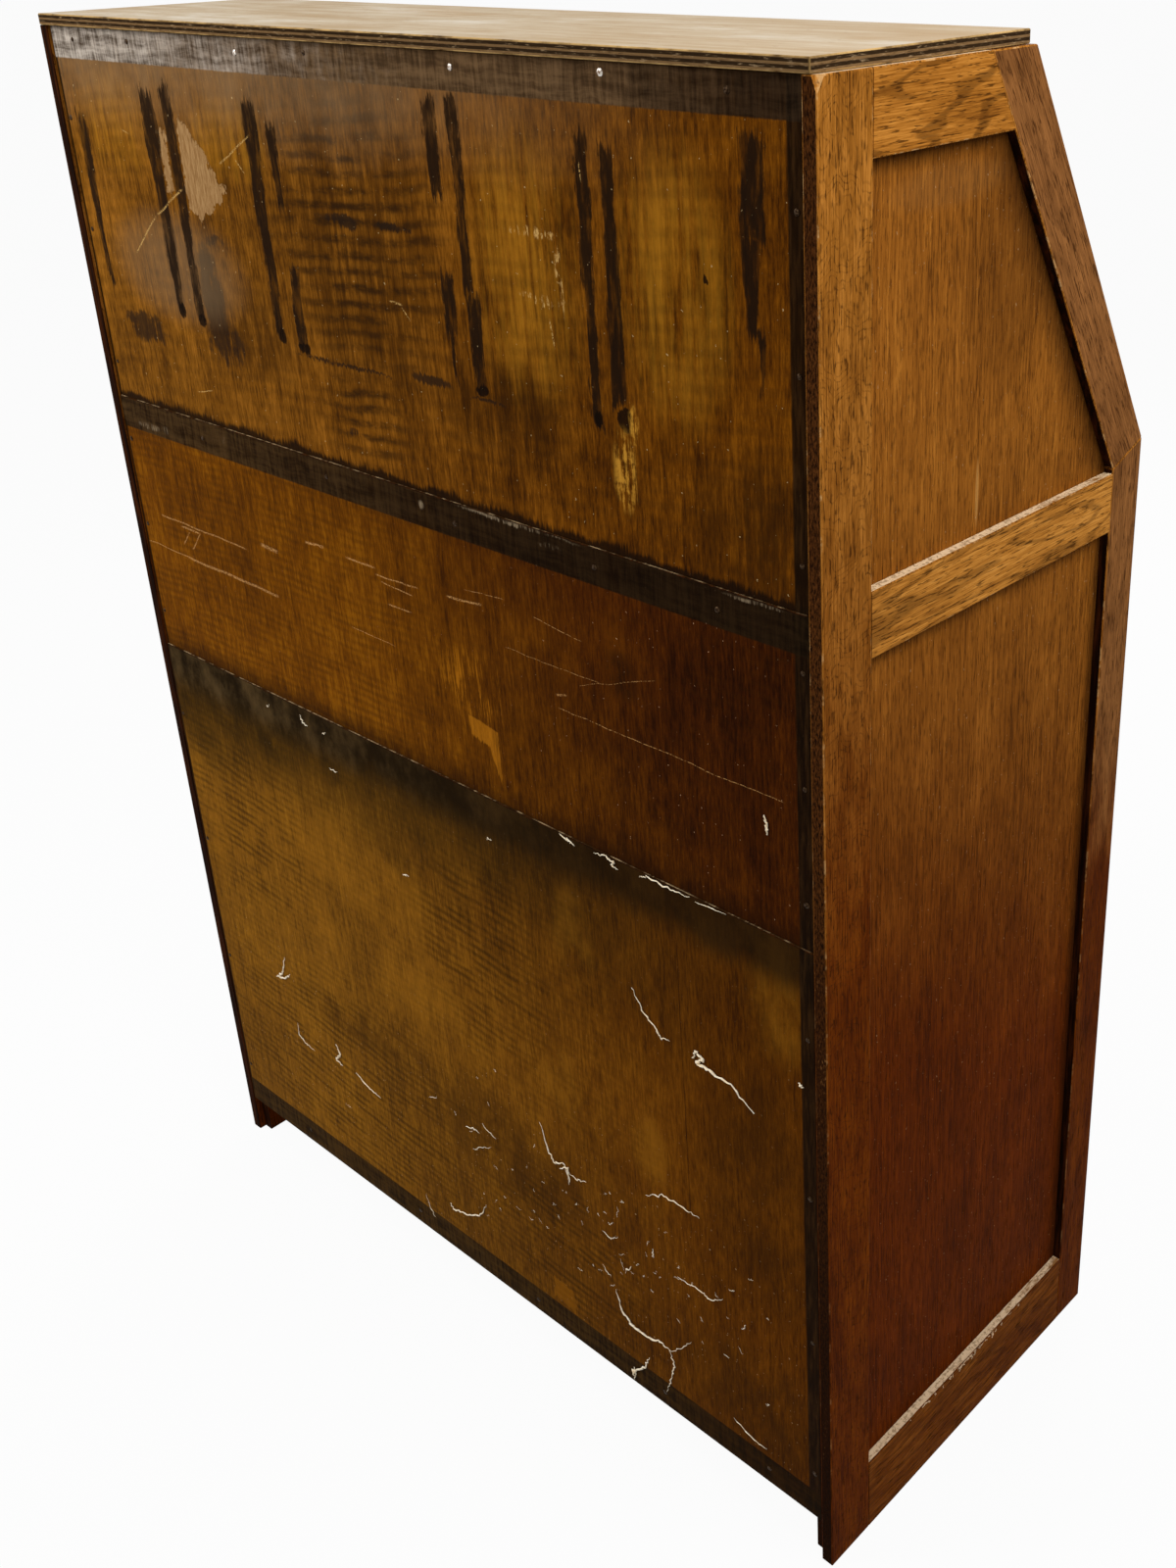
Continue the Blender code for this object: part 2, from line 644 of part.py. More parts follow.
FLOOR_LOW_Z = DRAWER_BOTTOM_HEIGHT
FLOOR_HIGH_Z = DRAWER_BOTTOM_HEIGHT + DRAWER_BOTTOM_THICKNESS
FLOOR_HALF = DRAWER_INNER + DRAWER_BOTTOM_GROOVE
FLOOR_LOW = (-FLOOR_HALF, DRAWER_FRONT_THICKNESS - DRAWER_BOTTOM_GROOVE, FLOOR_LOW_Z)
FLOOR_HIGH = (FLOOR_HALF, DRAWER_REAR_Y, FLOOR_HIGH_Z)
box("drawer_bottom", FLOOR_LOW, FLOOR_HIGH, PINE, DRAWER)
cut(grown_box("drawer_bottom_groove", FLOOR_LOW, FLOOR_HIGH, FIT, DRAWER), [DRAWER_FRONT, *DRAWER_WALLS])

BACK_HALF = DRAWER_INNER + DRAWER_BACK_HOUSING
BACK_REAR_Y = DRAWER_REAR_Y - DRAWER_BACK_INSET
BACK_LOW = (-BACK_HALF, BACK_REAR_Y - DRAWER_WALL, FLOOR_HIGH_Z + FIT)
BACK_HIGH = (BACK_HALF, BACK_REAR_Y, DRAWER_WALL_TOP)
box("drawer_back", BACK_LOW, BACK_HIGH, PINE, DRAWER)
cut(grown_box("drawer_back_housing", BACK_LOW, BACK_HIGH, FIT, DRAWER), DRAWER_WALLS)

for side, sign in SIDES.items():
    knob_place = (sign * DRAWER_KNOB_SPREAD, 0.0, DRAWER_OPENING / 2)
    fitted_knob(f"drawer_{side}_knob", knob_place, DRAWER, DRAWER_FRONT)


# Butt hinges, each in its own frame: the pin along z, the leaves reaching back along y
def hinge_leaf(name, plate_x, reach, length, moving, location, rotation, parent):
    """Make one leaf with its knuckles; the fixed leaf has the two outer ones and the pin."""
    half = length / 2
    middle_half = half / 3
    plate_half = half - FIT
    leaf = box(name, (plate_x[0], 0.0, -plate_half), (plate_x[1], reach, plate_half), BRASS, parent)
    leaf.data.transform(leaf.matrix_basis)
    leaf.location = location
    leaf.rotation_euler = rotation

    def core(label, radius, low, high):
        return rod(f"{name}_{label}", radius, low, high, location, rotation, parent)

    outer = [(-half, -middle_half - FIT / 2), (middle_half + FIT / 2, half)]
    inner = [(FIT / 2 - middle_half, middle_half - FIT / 2)]
    own, other = (inner, outer) if moving else (outer, inner)
    for number, (low, high) in enumerate(other):
        cut(core(f"notch_{number}", KNUCKLE_RADIUS + FIT, low - FIT, high + FIT), [leaf])
    for number, (low, high) in enumerate(own):
        change(leaf, core(f"knuckle_{number}", KNUCKLE_RADIUS, low, high), "UNION")
    if moving:
        cut(core("pin_hole", PIN_RADIUS + FIT, -half, half), [leaf])
    else:
        change(leaf, core("pin", PIN_RADIUS, 2 * FIT - half, half - 2 * FIT), "UNION")


def hinge_pocket(name, plate_x, reach, length, location, rotation, parent):
    """Make the two cutters that let a leaf and its knuckles into the wood."""
    half = length / 2 + FIT
    low = (plate_x[0] - FIT, -KNUCKLE_RADIUS, -half)
    high = (plate_x[1] + FIT, reach + FIT, half)
    pocket = box(name + "_pocket", low, high, None, parent)
    pocket.data.transform(pocket.matrix_basis)
    pocket.location = location
    pocket.rotation_euler = rotation
    clearance = KNUCKLE_RADIUS + 2 * FIT
    return pocket, rod(name + "_clearance", clearance, -half, half, location, rotation, parent)


# Fall, in its own frame: the hinge line at the bed's front edge, z up the slope
PIVOT = Vector((PIVOT_Y, WRITING_HEIGHT))
FALL = joint_frame("fall_pivot", (0.0, PIVOT_Y, WRITING_HEIGHT), (SLOPE_ANGLE - math.pi / 2, 0.0, 0.0))
TOP_CORNER_REACH = (Vector((TOP_FRONT_Y, TOP_LOW_Z)) - PIVOT).length - FALL_TOP_GAP
FALL_LENGTH = math.sqrt(TOP_CORNER_REACH**2 - BOARD_THICKNESS**2)
FALL_HALF = INNER_X - FALL_SIDE_GAP
FALL_BOARD = box(
    "fall_board", (-FALL_HALF, -BOARD_THICKNESS, HINGE_GAP), (FALL_HALF, 0.0, FALL_LENGTH), OAK, FALL
)
FIELD_HALF = FALL_HALF - FALL_FRAME_WIDTH
FALL_FIELD = box(
    "fall_field",
    (-FIELD_HALF, -2 * BOARD_THICKNESS, FALL_FRAME_WIDTH),
    (FIELD_HALF, PANEL_RECESS - BOARD_THICKNESS, FALL_LENGTH - FALL_FRAME_WIDTH),
    None,
    FALL,
)
cut(FALL_FIELD, [FALL_BOARD])
fitted_knob(
    "fall_knob", (0.0, -BOARD_THICKNESS, FALL_LENGTH - FALL_KNOB_BELOW_TOP), FALL, FALL_BOARD
)

INTO_BED = (0.0, math.pi / 2, 0.0)
UP_FALL = (math.pi / 2, 0.0, math.pi / 2)
for side, sign in SIDES.items():
    bed_place = (sign * FALL_HINGE_SPREAD, PIVOT_Y, WRITING_HEIGHT)
    fall_place = (sign * FALL_HINGE_SPREAD, 0.0, 0.0)
    bed_leaf = (f"{side}_fall_hinge_bed_leaf", (0.0, LEAF_THICKNESS), FALL_HINGE_REACH, FALL_HINGE_LENGTH)
    fall_leaf = (f"{side}_fall_hinge_fall_leaf", (-LEAF_THICKNESS, 0.0), FALL_HINGE_REACH, FALL_HINGE_LENGTH)
    hinge_leaf(*bed_leaf, False, bed_place, INTO_BED, None)
    hinge_leaf(*fall_leaf, True, fall_place, UP_FALL, FALL)
    for tool in hinge_pocket(*bed_leaf, bed_place, INTO_BED, None):
        cut(tool, [BED])
    for tool in hinge_pocket(*fall_leaf, fall_place, UP_FALL, FALL):
        cut(tool, [FALL_BOARD])


# Cupboard doors, each in its own frame on its hinge axis
DOOR_BOTTOM_Z = BOTTOM_BOARD_HEIGHT + DOOR_GAP
DOOR_TOP_Z = CUPBOARD_TOP_BOTTOM_Z - DOOR_GAP
DOOR_FACE_Y = FACE_Y - DOOR_AXIS_Y
DOOR_BACK_Y = DOOR_FACE_Y + DOOR_THICKNESS
HINGE_EDGE = DOOR_GAP / 2
MEETING_EDGE = DOOR_AXIS_X - DOOR_MEETING_GAP / 2


def door(side, sign, stile):
    """Make one framed door with its knob and its two hinges."""
    axis = joint_frame(f"{side}_door_axis", (sign * DOOR_AXIS_X, DOOR_AXIS_Y, 0.0))
    slab_x = span(-sign, HINGE_EDGE, MEETING_EDGE)
    slab_low = (slab_x[0], DOOR_FACE_Y, DOOR_BOTTOM_Z)
    slab_high = (slab_x[1], DOOR_BACK_Y, DOOR_TOP_Z)
    slab = box(f"{side}_door", slab_low, slab_high, OAK, axis)
    field_x = (slab_x[0] + DOOR_FRAME_WIDTH, slab_x[1] - DOOR_FRAME_WIDTH)
    field_z = (DOOR_BOTTOM_Z + DOOR_FRAME_WIDTH, DOOR_TOP_Z - DOOR_FRAME_WIDTH)
    panel_y = DOOR_FACE_Y + PANEL_RECESS
    hollows = {
        "front": (DOOR_FACE_Y - DOOR_THICKNESS, panel_y),
        "rear": (panel_y + PANEL_THICKNESS, DOOR_BACK_Y + DOOR_THICKNESS),
    }
    for face, (y_low, y_high) in hollows.items():
        low = (field_x[0], y_low, field_z[0])
        high = (field_x[1], y_high, field_z[1])
        cut(box(f"{side}_door_{face}_field", low, high, None, axis), [slab])

    knob_x = -sign * (MEETING_EDGE - DOOR_FRAME_WIDTH / 2)
    knob_place = (knob_x, DOOR_FACE_Y, DOOR_TOP_Z - DOOR_KNOB_BELOW_TOP)
    fitted_knob(f"{side}_door_knob", knob_place, axis, slab)

    level = (0.0, 0.0, 0.0)
    sizes = (DOOR_HINGE_REACH, DOOR_HINGE_LENGTH)
    stile_plate = span(sign, HINGE_EDGE, HINGE_EDGE + LEAF_THICKNESS)
    door_plate = span(-sign, HINGE_EDGE, HINGE_EDGE + LEAF_THICKNESS)
    heights = {"lower": DOOR_BOTTOM_Z + DOOR_HINGE_INSET, "upper": DOOR_TOP_Z - DOOR_HINGE_INSET}
    for place, height in heights.items():
        name = f"{side}_door_{place}_hinge"
        fixed_place = (sign * DOOR_AXIS_X, DOOR_AXIS_Y, height)
        moving_place = (0.0, 0.0, height)
        hinge_leaf(name + "_stile_leaf", stile_plate, *sizes, False, fixed_place, level, None)
        hinge_leaf(name + "_door_leaf", door_plate, *sizes, True, moving_place, level, axis)
        cut(hinge_pocket(name + "_stile_leaf", stile_plate, *sizes, fixed_place, level, None)[0], [stile])
        cut(hinge_pocket(name + "_door_leaf", door_plate, *sizes, moving_place, level, axis)[0], [slab])


for (side, sign), frame in zip(SIDES.items(), FRAMES):
    door(side, sign, frame["front"])
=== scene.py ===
"""Looks of the writing bureau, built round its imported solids: oak frames, stained ply back, faded top."""
import json
import math
import random

import bmesh
import bpy
from mathutils import Matrix, Vector

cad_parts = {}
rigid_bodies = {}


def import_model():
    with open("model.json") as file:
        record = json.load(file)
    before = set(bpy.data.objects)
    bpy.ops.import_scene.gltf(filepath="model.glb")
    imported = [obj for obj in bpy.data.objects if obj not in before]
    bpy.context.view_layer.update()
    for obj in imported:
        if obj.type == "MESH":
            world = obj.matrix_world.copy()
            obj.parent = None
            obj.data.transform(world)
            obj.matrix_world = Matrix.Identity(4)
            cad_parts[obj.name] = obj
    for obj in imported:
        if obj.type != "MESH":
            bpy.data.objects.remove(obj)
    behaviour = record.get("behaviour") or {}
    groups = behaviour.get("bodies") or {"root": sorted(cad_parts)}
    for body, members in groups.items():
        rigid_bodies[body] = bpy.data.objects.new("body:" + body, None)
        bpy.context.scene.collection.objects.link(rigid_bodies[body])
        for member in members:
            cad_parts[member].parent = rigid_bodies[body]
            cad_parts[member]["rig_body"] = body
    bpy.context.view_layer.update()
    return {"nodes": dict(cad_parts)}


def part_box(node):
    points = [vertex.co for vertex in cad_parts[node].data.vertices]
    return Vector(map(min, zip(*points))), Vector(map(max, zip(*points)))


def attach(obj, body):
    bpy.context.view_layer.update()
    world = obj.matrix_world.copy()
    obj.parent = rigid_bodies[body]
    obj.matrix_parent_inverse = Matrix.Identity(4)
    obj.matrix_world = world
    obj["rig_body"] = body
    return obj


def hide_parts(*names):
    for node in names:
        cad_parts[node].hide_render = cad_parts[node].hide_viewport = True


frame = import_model()

# Side frames
# Each side of the bureau is a frame of solid oak: a rear stile, a front stile, a sloping stile mitred to it,
# and three rails tenoned between them. The wood is stained and varnished, lighter at the top and darker
# below, partly in its stain and partly as painted light and shade.
FLAT_ANGLE = math.radians(1)
SHARP_ANGLE = math.radians(30)
WELD = 1e-5
ARRIS = 0.0008
SLOPE_TILT = math.radians(60.232)
UP = Vector((0, 0, 1))
BACKWARD = Vector((0, 1, 0))
SIDEWAYS = Vector((1, 0, 0))
UP_SLOPE = Vector((0, math.cos(SLOPE_TILT), math.sin(SLOPE_TILT)))
OFF_SLOPE = Vector((0, -math.sin(SLOPE_TILT), math.cos(SLOPE_TILT)))
STEEP = 0.7
SLANTED = 0.2
VARNISH_SHINE = 0.003


class Wire:
    """A socket of a finish. Sums and products of wires add Math nodes to that finish."""

    def __init__(self, socket):
        self.socket = socket

    def node(self, kind, settings=None, values=None, output=0):
        """A new node beside this socket. Settings are made first, then sockets are filled or linked."""
        tree = self.socket.id_data
        made = tree.nodes.new(kind)
        for name, value in (settings or {}).items():
            setattr(made, name, value)
        for name, value in (values or {}).items():
            if isinstance(value, Wire):
                tree.links.new(value.socket, made.inputs[name])
            else:
                made.inputs[name].default_value = value
        return Wire(made.outputs[output])

    def feed(self, shader, name):
        """Link this socket into a shader."""
        self.socket.id_data.links.new(self.socket, shader.inputs[name])

    def maths(self, operation, *values):
        """A Math node beside this socket."""
        return self.node("ShaderNodeMath", {"operation": operation}, dict(enumerate(values)))

    def sine(self):
        """The sine of this socket, taken as an angle."""
        return self.maths("SINE", self)

    def __add__(self, other):
        return self.maths("ADD", self, other)

    def __sub__(self, other):
        return self.maths("SUBTRACT", self, other)

    def __rsub__(self, other):
        return self.maths("SUBTRACT", other, self)

    def __mul__(self, other):
        return self.maths("MULTIPLY", self, other)

    def __truediv__(self, other):
        return self.maths("DIVIDE", self, other)

    def __abs__(self):
        return self.maths("ABSOLUTE", self)

    __radd__ = __add__
    __rmul__ = __mul__


def tint(red, green, blue):
    """A colour as the eye reads it, out of 255, in the shader's linear terms."""
    shares = (red / 255, green / 255, blue / 255)
    return tuple(((share + 0.055) / 1.055) ** 2.4 for share in shares) + (1.0,)


def stains(pale, mid, dark):
    """The pale, mid and dark colours of a wood, as the eye reads them."""
    return {"pale": tint(*pale), "mid": tint(*mid), "dark": tint(*dark)}


def new_finish(name):
    """A finish with its shader, and the place on the part as a wire."""
    finish = bpy.data.materials.new(name)
    finish.use_nodes = True
    nodes = finish.node_tree.nodes
    shader = nodes["Principled BSDF"]
    shader.inputs["Specular IOR Level"].default_value = VARNISH_SHINE
    return finish, shader, Wire(nodes.new("ShaderNodeTexCoord").outputs["Object"])


def along_axis(place, axis):
    """How far the place lies along an axis."""
    return place.node("ShaderNodeVectorMath", {"operation": "DOT_PRODUCT"}, {0: place, 1: axis}, "Value")


def along_axes(place, *axes):
    """How far the place lies along each of several axes."""
    return [along_axis(place, axis) for axis in axes]


def cloud(first, second, third=0.0, detail=2.0, rough=0.55):
    """Soft noise from 0 to 1 over three wires, with about one lump to each unit."""
    spot = first.node("ShaderNodeCombineXYZ", None, {0: first, 1: second, 2: third})
    values = {"Vector": spot, "Scale": 1.0, "Detail": detail, "Roughness": rough}
    return first.node("ShaderNodeTexNoise", None, values)


def rise(value, start, end):
    """0 before start, 1 after end, and smooth between; start may be the higher."""
    values = {"Value": value, "From Min": start, "From Max": end}
    return value.node("ShaderNodeMapRange", {"interpolation_type": "SMOOTHSTEP"}, values)


def paint(mask, under, over):
    """One colour over another, where the mask is 1."""
    return mask.node("ShaderNodeMix", {"data_type": "RGBA"}, {0: mask, 6: under, 7: over}, 2)


def shade(tone, wood):
    """A colour between a wood's dark, mid and pale stains, for a tone from 0 to 1."""
    lower = paint(rise(tone, 0.0, 0.55), wood["dark"], wood["mid"])
    return paint(rise(tone, 0.45, 1.0), lower, wood["pale"])


def dressed(finish, shader, colour, rough, height, depth):
    """A finish with its colour and its roughness, and with relief of that depth, in metres."""
    colour.feed(shader, "Base Color")
    rough.feed(shader, "Roughness")
    values = {"Strength": 1.0, "Distance": depth, "Height": height}
    height.node("ShaderNodeBump", None, values).feed(shader, "Normal")
    return finish


# Each upper stain here is lighter partly as painted light from above, and the dark stain for the foot is
# darker and redder partly as painted shade.
OAK_UPPER_STAIN_LIT = stains((190, 126, 52), (154, 96, 32), (98, 55, 16))
OAK_AGED = stains((178, 116, 46), (142, 88, 28), (92, 51, 14))
OAK_RUBBED = stains((208, 144, 66), (174, 113, 43), (116, 69, 24))
# The greyer stain of the front and sloping stiles is a painted sheen.
OAK_GREY_SHEEN = stains((152, 100, 53), (125, 80, 41), (80, 47, 21))
OAK_STAINED_SHADED = stains((116, 56, 7), (88, 37, 4), (53, 20, 3))
PORE_TINT = tint(50, 24, 7)
BARE_TINT = tint(208, 164, 108)
STAIN_SHADE_HEIGHTS = (0.30, 0.92)
NO_DARK_FOOT = (-2.0, -1.0)
WIDE_ARCH = (0.30, 0.055)
ARCH_TURNS = 11
OAK_RELIEF = 0.00015
# How far the figure and the grain of one piece lie from those of the next, which are cut from other boards
FIGURE_SHIFT = 50
GRAIN_SHIFT = 3.7
# Lumps to each metre across the grain and along it
OAK_FIBRES = (900, 32)
OAK_DASHES = (740, 75)
OAK_PATCHES = (56, 12)


def drawn_out(grain, lumps, detail, rough=0.55):
    """Noise drawn out along the grain, which is given as length, breadth and depth."""
    length, breadth, deep = grain
    return cloud(breadth * lumps[0], deep * lumps[0], length * lumps[1], detail, rough)


def oak(name, along, across, upper_stains=OAK_UPPER_STAIN_LIT, heights=STAIN_SHADE_HEIGHTS, worn=0.0,
        arch=WIDE_ARCH, figure=0.25, climb=0.0):
    """Stained oak with the grain along one axis. It is darker and redder below the heights and lighter above
    them, partly in its stain and partly as painted shade and light, and worn lays bare wood on it. Arch is
    how far the arches of its figure run along and across the grain, in metres, figure is how dark they are,
    and climb stacks them up the grain, in turns to each metre."""
    finish, shader, place = new_finish(name)
    shift = place.node("ShaderNodeObjectInfo", output="Random")
    length = along_axis(place, along) + shift * GRAIN_SHIFT
    breadth, deep, height = along_axes(place, across, along.cross(across), UP)
    grain = length, breadth, deep

    swirl = cloud(length / arch[0], breadth / arch[1], deep / arch[1] + shift * FIGURE_SHIFT, 2.5, 0.45)
    arches = rise(((swirl * ARCH_TURNS + length * climb) * (2 * math.pi)).sine(), 0.45, 1.0)
    fibre = drawn_out(grain, OAK_FIBRES, 3.0, 0.7)
    pores = rise(drawn_out(grain, OAK_DASHES, 2.0, 0.6) + arches * 0.05, 0.56, 0.66)
    patches = drawn_out(grain, OAK_PATCHES, 5.0, 0.68)
    # Darker below the heights and lighter above them: partly stain, partly painted shade and light.
    stain = rise(height + (patches - 0.5) * 0.20, *heights)

    tone = rise(fibre * 0.55 + patches * 0.38, 0.25, 0.65)
    colour = paint(stain, shade(tone, OAK_STAINED_SHADED), shade(tone, upper_stains))
    colour = paint(arches * rise(fibre, 0.32, 0.58) * figure, colour, PORE_TINT)
    colour = paint(pores * 0.72, colour, PORE_TINT)
    if worn:
        rub = cloud(length * 60, breadth * 60, deep * 60, 4.0, 0.7)
        bare = rise(rub, 0.72 - worn * 0.4, 0.80 - worn * 0.3)
        colour = paint(bare * (0.15 + stain * 0.55), colour, BARE_TINT)
    rough = 0.38 + fibre * 0.16 + pores * 0.2
    return dressed(finish, shader, colour, rough, fibre * 0.5 - pores, OAK_RELIEF)


def placed(name, mesh, finishes, slot, body, *nodes, rounded=False):
    """A worked mesh as a piece that rides on a body and stands for some nodes."""
    made = bpy.data.meshes.new(name)
    mesh.to_mesh(made)
    mesh.free()
    if rounded:
        made.shade_smooth()
        made.set_sharp_from_angle(angle=SHARP_ANGLE)
    for finish in finishes:
        made.materials.append(finish)
    piece = bpy.data.objects.new(name, made)
    bpy.context.scene.collection.objects.link(piece)
    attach(piece, body)
    if nodes:
        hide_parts(*nodes)


def welded(node):
    """A node's solid as a mesh to work on."""
    mesh = bmesh.new()
    mesh.from_mesh(frame["nodes"][node].data)
    bmesh.ops.remove_doubles(mesh, verts=mesh.verts, dist=WELD)
    return mesh


def eased(node, finishes, slot, arris=ARRIS, cuts=(), chips=(), zone=None, also=None):
    """A node's solid with its outer corners eased, as the piece that stands for it. The last finish is for
    the eased corners. Cuts split its faces at joint lines, and chips are knocked off it. Zone picks the
    finish of a face from its middle and normal, and also picks inner corners to ease from their middles."""
    mesh = welded(node)
    bmesh.ops.dissolve_limit(mesh, angle_limit=FLAT_ANGLE, verts=mesh.verts, edges=mesh.edges)
    outer = set()
    for face in mesh.faces:
        level = face.normal.dot(face.verts[0].co)
        if all(face.normal.dot(corner.co) < level + WELD for corner in mesh.verts):
            outer.add(face)
    corners = []
    for edge in mesh.edges:
        middle = (edge.verts[0].co + edge.verts[1].co) / 2
        wanted = outer.issuperset(edge.link_faces) or also and also(middle)
        if wanted and edge.is_manifold and edge.calc_face_angle() > SHARP_ANGLE:
            corners.append(edge)
    last = len(finishes) - 1
    bmesh.ops.bevel(mesh, geom=corners, offset=arris, segments=2, profile=0.5, affect="EDGES",
                    clamp_overlap=True, material=last)
    for point, normal in cuts:
        whole = mesh.verts[:] + mesh.edges[:] + mesh.faces[:]
        bmesh.ops.bisect_plane(mesh, geom=whole, dist=WELD, plane_co=point, plane_no=normal)
    for point, normal in chips:
        whole = mesh.verts[:] + mesh.edges[:] + mesh.faces[:]
        bmesh.ops.bisect_plane(mesh, geom=whole, dist=WELD, plane_co=point, plane_no=normal,
                               clear_outer=True)
        bmesh.ops.holes_fill(mesh, edges=[edge for edge in mesh.edges if edge.is_boundary])
    if zone:
        mesh.normal_update()
        for face in mesh.faces:
            if face.material_index != last:
                face.material_index = zone(face.calc_center_median(), face.normal)
    placed(node + "_worked", mesh, finishes, slot, frame["nodes"][node]["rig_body"], node)


BARE_OAK = tint(226, 196, 156)
LEDGE_HEIGHTS = (0.10, 0.75)
SAWN_HEIGHTS = (0.10, 0.70)
DUST_RELIEF = 0.0006
EDGE_RELIEF = 0.0003
SAWN_RELIEF = 0.0007


def bare_ledge(name):
    """The bare, rubbed upper edge of a rail, where dust lies and the varnish has gone."""
    finish, shader, place = new_finish(name)
    x, y, z = along_axes(place, SIDEWAYS, BACKWARD, UP)
    rub = cloud(y * 70, x * 260, z * 10, 4.0, 0.7)
    fibre = cloud(y * 40, x * 900, z * 5, 2.0)
    bare = paint(rise(z, *LEDGE_HEIGHTS), tint(230, 200, 162), BARE_OAK)
    colour = paint(rise(rub + y * 0.7, 0.26, 0.46), tint(150, 104, 58), bare)
    colour = paint(rise(fibre, 0.56, 0.74) * 0.45, colour, tint(128, 84, 44))
    specks = cloud(y * 420, x * 420, z * 420, 2.0, 0.6)
    colour = paint(rise(specks, 0.50, 0.62) * 0.55, colour, tint(112, 78, 42))
    return dressed(finish, shader, colour, 0.7 + rub * 0.2, rub, DUST_RELIEF)


def stained_shaded_edge(name):
    """An edge nearly black: stain that the brush loaded on it, and painted shade where it sits back in a
    reveal.
    """
    finish, shader, place = new_finish(name)
    x, y, z = along_axes(place, SIDEWAYS, BACKWARD, UP)
    run = cloud(y * 160, z * 16, x * 220, 4.0, 0.65)
    colour = paint(rise(run, 0.40, 0.78), tint(24, 11, 5), tint(72, 34, 11))
    return dressed(finish, shader, colour, 0.42 + run * 0.2, run, EDGE_RELIEF)


def sawn_edge(name):
    """The rough-sawn rear edge of a rear stile: dark stain, short torn fibres and rubbed spots."""
    finish, shader, place = new_finish(name)
    x, z = along_axes(place, SIDEWAYS, UP)
    torn = cloud(x * 900, z * 260, 0.0, 3.0, 0.7)
    patches = cloud(x * 60, z * 9, 4.0, 3.0)
    fresh = paint(rise(z, *SAWN_HEIGHTS), tint(40, 20, 8), tint(92, 52, 21))
    colour = paint(rise(torn, 0.36, 0.66), tint(24, 12, 5), fresh)
    colour = paint(rise(patches, 0.42, 0.70) * 0.5, colour, tint(46, 22, 8))
    colour = paint(rise(torn * 0.5 + patches * 0.6, 0.67, 0.74) * 0.6, colour, tint(150, 104, 58))
    return dressed(finish, shader, colour, 0.55 + torn * 0.25, torn, SAWN_RELIEF)


oak_arris = oak("oak_arris", UP, BACKWARD, worn=0.5)
oak_ledge = bare_ledge("oak_ledge")
# Nearly black, as stain and as painted shade in the reveals.
oak_stain_and_shade = stained_shaded_edge("oak_stain_and_shade")
oak_sawn = sawn_edge("oak_sawn")
oak_upright = oak("oak_upright", UP, BACKWARD, OAK_AGED, heights=(0.50, 0.98), arch=(0.030, 0.022),
                  figure=0.22, climb=110)
# The front and sloping stiles are greyer, as a painted sheen.
oak_front_upright = oak("oak_front_upright", UP, BACKWARD, OAK_GREY_SHEEN, heights=(0.42, 0.60))
oak_sloping = oak("oak_sloping", UP_SLOPE, OFF_SLOPE, OAK_GREY_SHEEN, heights=NO_DARK_FOOT)
oak_top_rail = oak("oak_top_rail", BACKWARD, UP, arch=(0.16, 0.055), figure=0.60)
oak_mid_rail = oak("oak_mid_rail", BACKWARD, UP, OAK_RUBBED, NO_DARK_FOOT, arch=(0.24, 0.045), figure=0.50)
oak_low_rail = oak("oak_low_rail", BACKWARD, UP, heights=(-0.12, 0.50), arch=(0.20, 0.050), figure=0.40)


def reveal_zone(_, normal):
    """Inner edges that look to the back are nearly black, with stain and painted shade."""
    return 1 if normal.y > STEEP or normal.dot(OFF_SLOPE) < -STEEP else 0


def ledge_zone(_, normal):
    """Edges that look up are bare."""
    return 1 if normal.z > STEEP else 0


def rear_stile_zone(_, normal):
    """The top end and the chipped corner are bare, and the rear edge is as sawn."""
    return 1 if normal.z > SLANTED else 2 if normal.y > STEEP else 0


SIDE_FACE = 0.381
REBATE_X = 0.371
REAR_Y = 0.1825


def rebate_corner(middle):
    """The corners where the rear edge of a stile meets its rebate."""
    return abs(abs(middle.x) - REBATE_X) < WELD and middle.y > REAR_Y - WELD


STILE_TOP = max(corner.co.z for corner in frame["nodes"]["left_rear_stile"].data.vertices)
CHIP_DEPTH = 0.0035
CHIP_HEIGHT = 0.0040
CHIP_WAY = Vector((-0.80, 0.50, 0.33))
LOST_CORNER = (Vector((-SIDE_FACE, REAR_Y - CHIP_DEPTH, STILE_TOP - CHIP_HEIGHT)), CHIP_WAY)
REAR_EDGES = {"left": (oak_sawn, oak_arris), "right": (oak_stain_and_shade, oak_stain_and_shade)}
for hand, lost in (("left", (LOST_CORNER,)), ("right", ())):
    eased(hand + "_rear_stile", (oak_upright, oak_ledge, *REAR_EDGES[hand]), "oak_frame",
          chips=lost, zone=rear_stile_zone, also=rebate_corner)
    eased(hand + "_front_stile", (oak_front_upright, oak_stain_and_shade, oak_arris), "oak_frame", zone=reveal_zone)
    eased(hand + "_slope_stile", (oak_sloping, oak_stain_and_shade, oak_arris), "oak_frame", zone=reveal_zone)
    eased(hand + "_top_rail", (oak_top_rail, oak_ledge, oak_arris), "oak_frame", zone=ledge_zone)
    eased(hand + "_mid_rail", (oak_mid_rail, oak_ledge, oak_arris), "oak_frame", zone=ledge_zone)
    eased(hand + "_bottom_rail", (oak_low_rail, oak_ledge, oak_arris), "oak_frame", zone=ledge_zone)

